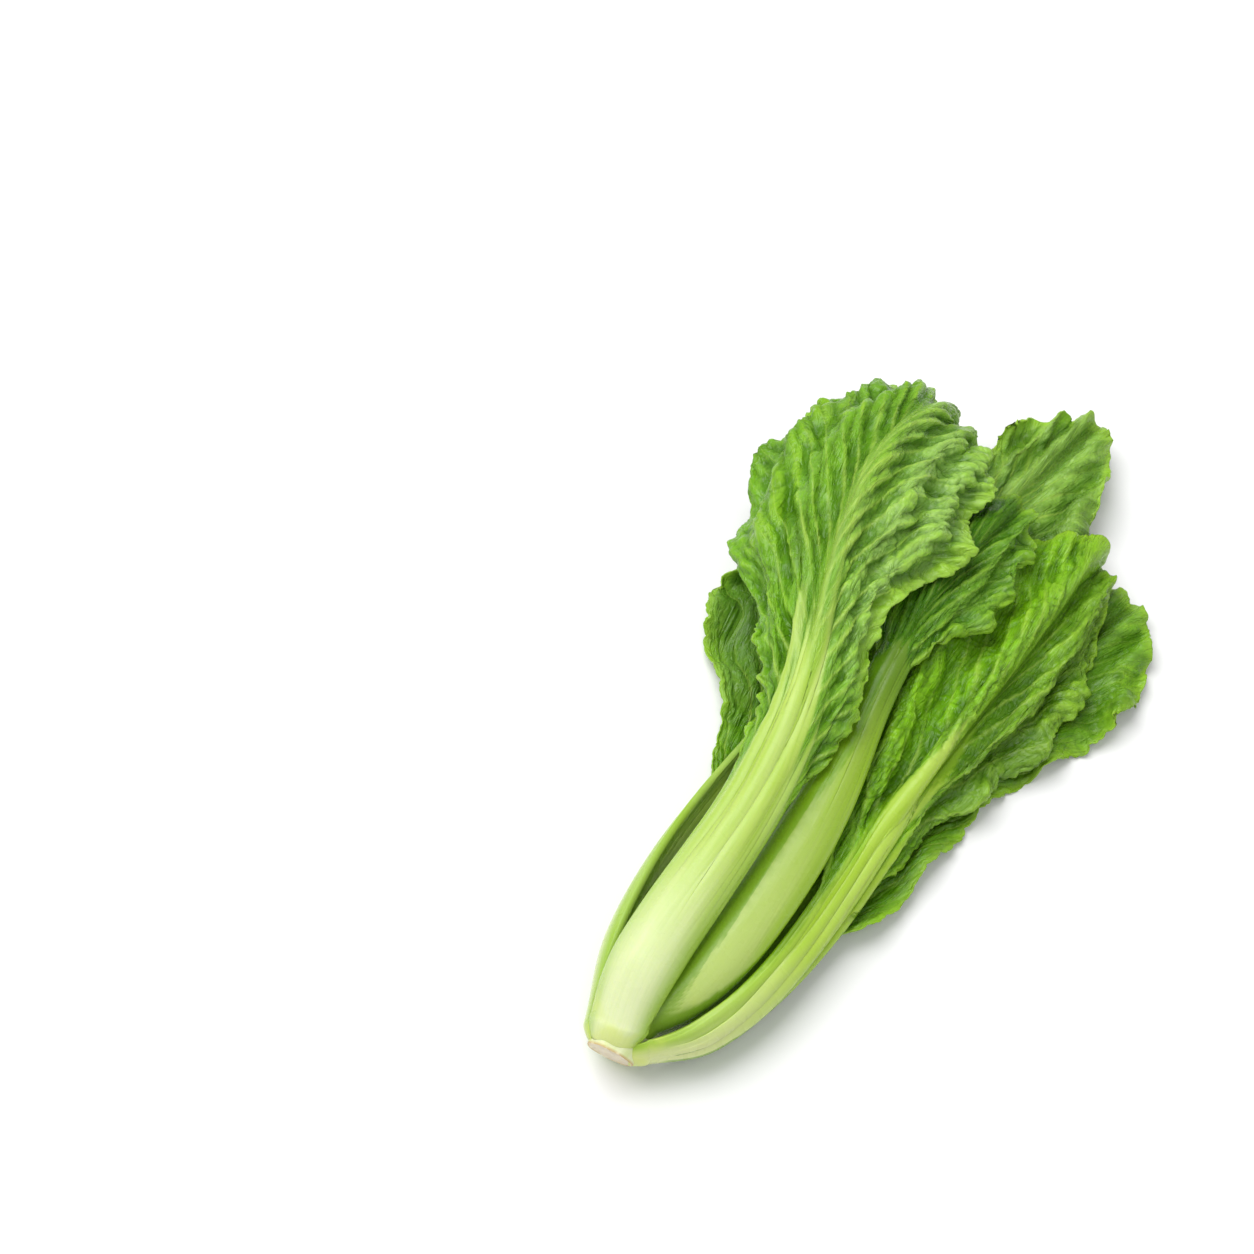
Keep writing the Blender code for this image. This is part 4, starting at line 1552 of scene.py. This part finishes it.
@dataclass(frozen=True)
class CutStem:
    """The butt of the stem: a flat slanted cut, a collar that swells, and a domed top hidden in the head.

    face_share is the share of the rings that lie on the cut, and collar_share that of the rest up to the
    collar's end. Each row of lumps is a count round the stem, a turn, and a height as a share of the radius.
    """

    sides: int = 96
    rings: int = 40
    face_share: float = 0.35
    collar_share: float = 0.35
    lumps: tuple = ((3.0, 0.6, 0.03), (7.0, 0.0, 0.02))

    def profile(self) -> tuple:
        """Radius and place along +Y of each ring: a straight face, a quarter wave, then a swollen dome.

        Returns:
            The radius and the place of each ring, from the middle of the cut to the top.
        """
        share = np.linspace(0.0, 1.0, self.rings + 1)
        face = share[share <= self.face_share] / self.face_share
        wall = (share[share > self.face_share] - self.face_share) / (1.0 - self.face_share)
        collar = limited(wall / self.collar_share)
        dome = limited((wall - self.collar_share) / (1.0 - self.collar_share)) * math.pi / 2.0
        swollen = STEM_RADIUS * np.cos(dome) ** 0.7 + HEART_SWELL * np.sin(2.0 * dome)
        radius = CUT_RADIUS + (STEM_RADIUS - CUT_RADIUS) * np.sin(collar * math.pi / 2.0)
        radius = np.where(wall > self.collar_share, swollen, radius)
        y = np.where(
            wall > self.collar_share,
            COLLAR_END + (HEART_END - COLLAR_END) * np.sin(dome),
            CUT_AT + (COLLAR_END - CUT_AT) * collar,
        )
        return np.concatenate([face * CUT_RADIUS, radius]), np.concatenate([np.full_like(face, CUT_AT), y])

    def mesh(self, to_part: Array) -> bpy.types.Mesh:
        """The stem as its profile turned round the axis, with lumps, and sheared at the cut.

        Args:
            to_part: the head's own origin in the part's frame.

        Returns:
            The mesh.
        """
        radius, y = self.profile()
        turn = np.linspace(0.0, 2.0 * math.pi, self.sides, endpoint=False)
        r, angle = np.meshgrid(radius[1:-1], turn, indexing="ij")
        along = np.repeat(y[1:-1][:, None], self.sides, axis=1)
        lumps = sum(height * np.cos(count * angle + shift) for count, shift, height in self.lumps)
        wide = r * (1.0 + lumps * limited(r / CUT_RADIUS))
        x, z = wide * np.cos(angle), wide * np.sin(angle)
        on_cut = along <= CUT_AT + 1e-9
        sunk = CUT_RIPPLE * np.cos(r / CUT_RADIUS * 9.0) * on_cut
        hold = limited((COLLAR_END - along) / (COLLAR_END - CUT_AT))
        along = along + hold * (CUT_SLANT[0] * x + CUT_SLANT[1] * z) + sunk
        ring_points = np.stack([x, along, z + STEM_HEIGHT], -1).reshape(-1, 3)
        poles = np.array([[0.0, CUT_AT, STEM_HEIGHT], [0.0, HEART_END, STEM_HEIGHT]])
        points = np.concatenate([ring_points, poles]) + to_part
        index = np.arange(r.size).reshape(r.shape)
        a, b = index[:-1], index[1:]
        quads = np.stack([b, np.roll(b, -1, 1), np.roll(a, -1, 1), a], -1).reshape(-1, 4)
        first, last = index[0], index[-1]
        low = np.stack([first, np.roll(first, -1), np.full(self.sides, r.size)], 1)
        high = np.stack([np.roll(last, -1), last, np.full(self.sides, r.size + 1)], 1)
        mesh = bpy.data.meshes.new("stem_skin")
        mesh.from_pydata(points.tolist(), [], quads.tolist() + low.tolist() + high.tolist())
        cut = np.concatenate([on_cut.ravel(), [1.0, 0.0]])
        ring = np.concatenate([smooth((r.ravel() / CUT_RADIUS - 0.90) / 0.1), [0.0, 0.0]])
        plan = np.stack([angle.ravel() * STEM_RADIUS, along.ravel()], 1)
        dress(mesh, {"plan": np.concatenate([plan, np.zeros((2, 2))])}, {"cut": cut, "ring": ring})
        mesh.set_sharp_from_angle(angle=math.radians(60.0))
        return mesh


class Stage:
    """Floor, soft light and the camera."""

    def build(self, to_part: Array) -> None:
        """Makes the stage round the part.

        Args:
            to_part: the head's own origin in the part's frame.
        """
        self.floor()
        self.lights()
        self.camera(to_part)

    def floor(self) -> None:
        """A pale plain floor."""
        corners = [(x * FLOOR_HALF, y * FLOOR_HALF, 0.0) for x, y in ((-1, -1), (1, -1), (1, 1), (-1, 1))]
        mesh = bpy.data.meshes.new("floor")
        mesh.from_pydata(corners, [], [(0, 1, 2, 3)])
        material = bpy.data.materials.new("floor_white")
        material.use_nodes = True
        shader = material.node_tree.nodes["Principled BSDF"]
        shader.inputs["Base Color"].default_value = (FLOOR_GREY, FLOOR_GREY, FLOOR_GREY, 1.0)
        shader.inputs["Roughness"].default_value = 0.9
        mesh.materials.append(material)
        floor = place("floor", mesh)

    def lights(self) -> None:
        """A white surround, a large soft lamp up at the photograph's upper left, and a weak one opposite."""
        world = bpy.data.worlds.new("surround")
        world.use_nodes = True
        background = world.node_tree.nodes["Background"]
        background.inputs[0].default_value = (1.0, 1.0, 1.0, 1.0)
        background.inputs[1].default_value = SURROUND
        bpy.context.scene.world = world
        for name, spot, size, power in LAMPS:
            data = bpy.data.lights.new(name, "AREA")
            data.size = size
            data.energy = power
            lamp = place(name, data)
            lamp.location = spot
            aim = -unit(np.array(spot))
            lamp.rotation_euler = (math.acos(-aim[2]), 0.0, math.atan2(aim[1], aim[0]) - math.pi / 2.0)

    def camera(self, to_part: Array) -> None:
        """The photograph's view: it looks down by the elevation, turned round by the azimuth.

        Args:
            to_part: the head's own origin in the part's frame.
        """
        data = bpy.data.cameras.new("camera")
        data.lens = LENS
        data.sensor_width = SENSOR
        data.clip_end = FAR_CLIP
        camera = place("camera", data)
        camera.location = np.array(CAMERA_IN_HEAD) + to_part
        camera.rotation_euler = (math.radians(90.0 - ELEVATION), 0.0, math.radians(AZIMUTH))
        bpy.context.scene.camera = camera
        bpy.context.scene.view_settings.view_transform = "Standard"


LEAVES = (
    LeafPiece(
        Leaf(
            name="leaf_under",
            route=(
                (0.0, 0.004, 0.0036, 180), (-0.0015, 0.012, 0.0034, 180), (-0.005, 0.025, 0.003, 180),
                (-0.0095, 0.05, 0.0026, 180), (-0.014, 0.085, 0.0024, 180), (-0.018, 0.13, 0.0022, 180),
                (-0.022, 0.18, 0.0018, 180), (-0.029, 0.23, 0.002, 180), (-0.036, 0.28, 0.006, 180),
            ),
            stalk_share=0.4, root_half=0.0086, stalk_half=0.0138, blade=(0.05, 0.052),
            stalk_thick=0.008, root_curl=37, stalk_curl=40, curl=(12, 16),
            wing=(0.008, 0.008), flare=(0.14, 0.14), fullest=(0.68, 0.68),
            ruffle=0.0032, side_waves=4.0, top_waves=2.5, pleat=0.001, pleats=5.0, phase=0.4,
        ),
        Relief(fold=0.16, foot_back=0.0034, seed=100), 45, 189, 99, LeafFinish(),
    ),
    LeafPiece(
        Leaf(
            name="leaf_low_right",
            route=(
                (0.0066, 0.0175, 0.0124, 150), (0.0122, 0.026, 0.011, 152), (0.021, 0.045, 0.0084, 163),
                (0.028, 0.075, 0.0052, 174), (0.0345, 0.105, 0.0037, 178), (0.039, 0.145, 0.0029, 180),
                (0.0435, 0.185, 0.0025, 181), (0.053, 0.225, 0.0035, 180), (0.0665, 0.262, 0.006, 178),
                (0.079, 0.295, 0.006, 176),
            ),
            stalk_share=0.22, root_half=0.0056, stalk_half=0.011, blade=(0.04, 0.044),
            stalk_thick=0.0075, root_curl=60, stalk_curl=30, curl=(6, 10),
            wing=(0.0185, 0.002), flare=(0.45, 0.55), fullest=(0.86, 0.88),
            ruffle=0.0045, side_waves=5.0, top_waves=2.6, pleat=0.0012, pleats=4.0, phase=1.4,
        ),
        Relief(fold=0.14, ruffle_from=0.55, crumple=0.0004, seed=200), 27, 270, 108,
        LeafFinish(near=srgb(106, 156, 34)),
    ),
    LeafPiece(
        Leaf(
            name="leaf_far",
            route=(
                (-0.0135, 0.004, 0.0148, -100), (-0.0158, 0.012, 0.0168, -99), (-0.0202, 0.026, 0.0194, -99),
                (-0.0246, 0.05, 0.0192, -105), (-0.025, 0.085, 0.0166, -118), (-0.021, 0.125, 0.013, -135),
                (-0.015, 0.165, 0.0115, -152), (-0.009, 0.205, 0.0115, -165), (-0.001, 0.248, 0.013, -172),
                (0.009, 0.292, 0.017, -176), (0.018, 0.334, 0.018, -178), (0.024, 0.367, 0.016, -180),
            ),
            stalk_share=0.38, root_half=0.0086, stalk_half=0.014, blade=(0.045, 0.024),
            stalk_thick=0.008, root_curl=37, stalk_curl=42, curl=(16, 14),
            wing=(0.008, 0.008), flare=(0.14, 0.14), fullest=(0.68, 0.68),
            ruffle=0.0042, side_waves=5.0, top_waves=2.4, pleat=0.0014, pleats=5.0, phase=2.2, rounding=1.4,
        ),
        Relief(fold=0.2, swell=0.0018, ruffle=0.0034, seed=300), 54, 261, 108,
        LeafFinish(near=srgb(136, 184, 72), inner=srgb(144, 190, 84)),
    ),
    LeafPiece(
        Leaf(
            name="leaf_heart",
            route=(
                (0.0, 0.02, 0.019, 0), (0.001, 0.035, 0.022, 0), (0.002, 0.06, 0.024, 0),
                (0.002, 0.09, 0.0255, 0), (0.001, 0.12, 0.026, 0), (-0.002, 0.15, 0.025, 0),
                (-0.006, 0.19, 0.023, 0),
            ),
            stalk_share=0.34, root_half=0.005, stalk_half=0.008, blade=(0.024, 0.024),
            stalk_thick=0.0055, root_curl=60, stalk_curl=50, curl=(26, 30),
            wing=(0.004, 0.004), flare=(0.14, 0.14), fullest=(0.68, 0.68),
            ruffle=0.0018, side_waves=3.0, top_waves=1.5, pleat=0.0008, pleats=3.0, phase=0.2,
        ),
        Relief(vein_step=0.009, crumple=0.0004, swell=0.0005, ruffle=0.001, tooth=0.0012, seed=400),
        36, 117, 63, LeafFinish(vein_step=0.009),
    ),
    LeafPiece(
        Leaf(
            name="leaf_right",
            route=(
                (0.0134, 0.004, 0.017, 88), (0.018, 0.0085, 0.0164, 88), (0.0296, 0.0215, 0.0158, 84),
                (0.0388, 0.044, 0.0168, 74), (0.0438, 0.072, 0.0188, 61), (0.0458, 0.103, 0.0212, 48),
                (0.0456, 0.136, 0.024, 37), (0.0457, 0.168, 0.026, 29), (0.0485, 0.204, 0.027, 22),
                (0.052, 0.242, 0.026, 18), (0.0545, 0.28, 0.022, 15), (0.056, 0.302, 0.016, 12),
            ),
            stalk_share=0.32, root_half=0.0094, stalk_half=0.0122, blade=(0.052, 0.04),
            stalk_thick=0.009, root_curl=37, stalk_curl=48, curl=(40, 46),
            wing=(0.008, 0.005), flare=(0.1, 0.1), fullest=(0.68, 0.68), neck=0.97,
            ruffle=0.0036, side_waves=4.5, top_waves=3.0, pleat=0.0048, pleats=4.0, phase=0.9, rounding=1.15,
        ),
        Relief(
            vein_step=0.022, vein_reach=0.8, bundle_end=0.48, fan=0.0, fray=0.45, wander=0.005, fold=0.07,
            crumple=0.0005, swirl=0.0008, ruffle=0.0022, ruffle_from=0.55, rib=0.0013, rib_width=0.0036,
            rib_late=0.5, foot_back=0.0046, seed=500,
            valleys=((-0.01, 0.125, 0.24, 0.003), (0.0072, 0.14, 0.25, 0.0034)),
        ),
        54, 261, 126,
        LeafFinish(
            near=srgb(124, 192, 0), far=srgb(112, 156, 46), stalk_low=srgb(218, 226, 160),
            stalk_high=srgb(172, 206, 66), vein_step=0.022, vein_reach=0.8, vein_show=0.42,
        ),
    ),
    LeafPiece(
        Leaf(
            name="leaf_middle",
            route=(
                (0.0078, 0.015, 0.0246, 44), (0.0146, 0.0235, 0.0268, 40), (0.0204, 0.041, 0.0306, 31),
                (0.0226, 0.07, 0.0345, 22), (0.0226, 0.101, 0.037, 16), (0.0206, 0.133, 0.0395, 10),
                (0.016, 0.164, 0.041, 8), (0.013, 0.193, 0.043, 10), (0.012, 0.222, 0.043, 14),
                (0.0135, 0.25, 0.041, 16), (0.017, 0.278, 0.037, 16), (0.021, 0.298, 0.031, 16),
            ),
            stalk_share=0.62, root_half=0.0098, stalk_half=0.0137, blade=(0.044, 0.029),
            stalk_thick=0.0088, root_curl=60, stalk_curl=48, curl=(28, 34),
            wing=(0.003, 0.003), flare=(0.0, 0.06), fullest=(0.6, 0.52), neck=0.58,
            ruffle=0.003, side_waves=3.5, top_waves=2.2, pleat=0.0016, pleats=4.0, phase=2.9,
        ),
        Relief(
            bundle_end=0.16, core=0.0, fold=0.08, crumple=0.0004, swell=0.0016, tooth=0.0028,
            tooth_step=0.013, foot_back=0.011, seed=600,
        ),
        99, 171, 108,
        # Darker colours than the other leaves': painted shade of the top leaf over this one, and painted
        # shadow at its neck
        LeafFinish(
            stalk_low=srgb(188, 208, 118), stalk_high=srgb(142, 172, 60), near=srgb(70, 128, 6),
            far=srgb(116, 168, 50), vein_show=0.25, neck_shadow=0.6,
        ),
    ),
    LeafPiece(
        Leaf(
            name="leaf_top",
            route=(
                (-0.0014, 0.004, 0.0303, -6), (-0.0028, 0.011, 0.0345, -4), (-0.0042, 0.0255, 0.041, 0),
                (-0.0032, 0.051, 0.047, 0), (-0.0008, 0.079, 0.052, 0), (-0.0002, 0.109, 0.056, 0),
                (-0.0048, 0.145, 0.061, 2), (-0.014, 0.18, 0.065, 4), (-0.0245, 0.211, 0.068, 6),
                (-0.0315, 0.243, 0.069, 8), (-0.033, 0.272, 0.067, 9), (-0.031, 0.299, 0.06, 10),
                (-0.029, 0.3165, 0.048, 10), (-0.0275, 0.324, 0.034, 10),
            ),
            stalk_share=0.31, root_half=0.0134, stalk_half=0.0152, blade=(0.066, 0.052),
            stalk_thick=0.0105, root_curl=53, stalk_curl=54, curl=(80, 40),
            wing=(0.006, 0.012), flare=(0.16, 0.4), fullest=(0.68, 0.62), neck=0.92,
            ruffle=0.0042, side_waves=4.5, top_waves=3.0, pleat=0.0028, pleats=6.0, phase=0.0, rounding=0.3,
        ),
        Relief(
            vein_step=0.015, vein_reach=0.48, bundle_end=0.55, fan=0.8, fray=0.42, wander=-0.003, fold=0.2,
            crumple=0.0007, swirl=0.00045, swell=0.002, rib=0.0008, rib_width=0.0036, seed=700,
            valleys=((0.018, 0.095, 0.175, 0.0024), (-0.012, 0.125, 0.2, 0.0016), (0.026, 0.12, 0.19, 0.002)),
        ),
        63, 279, 135, LeafFinish(vein_step=0.015, vein_reach=0.48, vein_show=0.55),
    ),
)


class Head:
    """All the leaves and the stem, laid, meshed and dressed."""

    def __init__(self) -> None:
        """Finds the head's own origin in the part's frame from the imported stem's box."""
        low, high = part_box("cut_stem")
        self.to_part = np.array([(low[0] + high[0]) / 2.0, high[1] - STEM_END, 0.0])

    def add(self, name: str, mesh: bpy.types.Mesh, finish: bpy.types.Material, node: str, slot: str) -> None:
        """Places one piece in the scene, on the body, for its CAD node, which it hides.

        Args:
            name: the piece's name.
            mesh: its mesh.
            finish: its material.
            node: the CAD node that it replaces.
            slot: not used.
        """
        mesh.materials.append(finish)
        piece = place(name, mesh)
        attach(piece, "root")
        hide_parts(node)
        log.info("%s: %d faces", name, len(mesh.polygons))

    def build(self) -> None:
        """Lays the leaves from the lowest to the top one, then adds each piece."""
        crinkles, grain = crinkle_group(), flesh_grain_group()
        solid_heights, fine_heights = Heights(AIR), Heights(FINE_AIR)
        axis = np.array([0.0, 0.0, STEM_HEIGHT])
        finish = StemFinish().make("stem_flesh", grain)
        self.add("stem_butt", CutStem().mesh(self.to_part), finish, "cut_stem", "stem")
        skins = [piece.skin(piece.coarse_lift(solid_heights), fine_heights, axis) for piece in LEAVES]
        for piece, skin in zip(LEAVES, skins):
            upper = np.where(skin.outer[..., 2:] > skin.inner[..., 2:], skin.outer, skin.inner)
            # Painted shade: how deep each point lies among the leaves
            skin.marks["deep"] = fine_heights.deep_shade_of(upper)
            skin.outer += self.to_part
            skin.inner += self.to_part
            name = piece.form.name
            finish = piece.finish.make(name + "_skin", crinkles, grain)
            self.add(name + "_fine", piece.mesh(skin), finish, name, "leaf")


def main() -> None:
    """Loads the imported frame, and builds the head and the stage."""
    logging.basicConfig(level=logging.INFO, format="%(message)s")
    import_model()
    head = Head()
    head.build()
    Stage().build(head.to_part)
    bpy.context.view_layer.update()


if __name__ == "__main__":
    main()
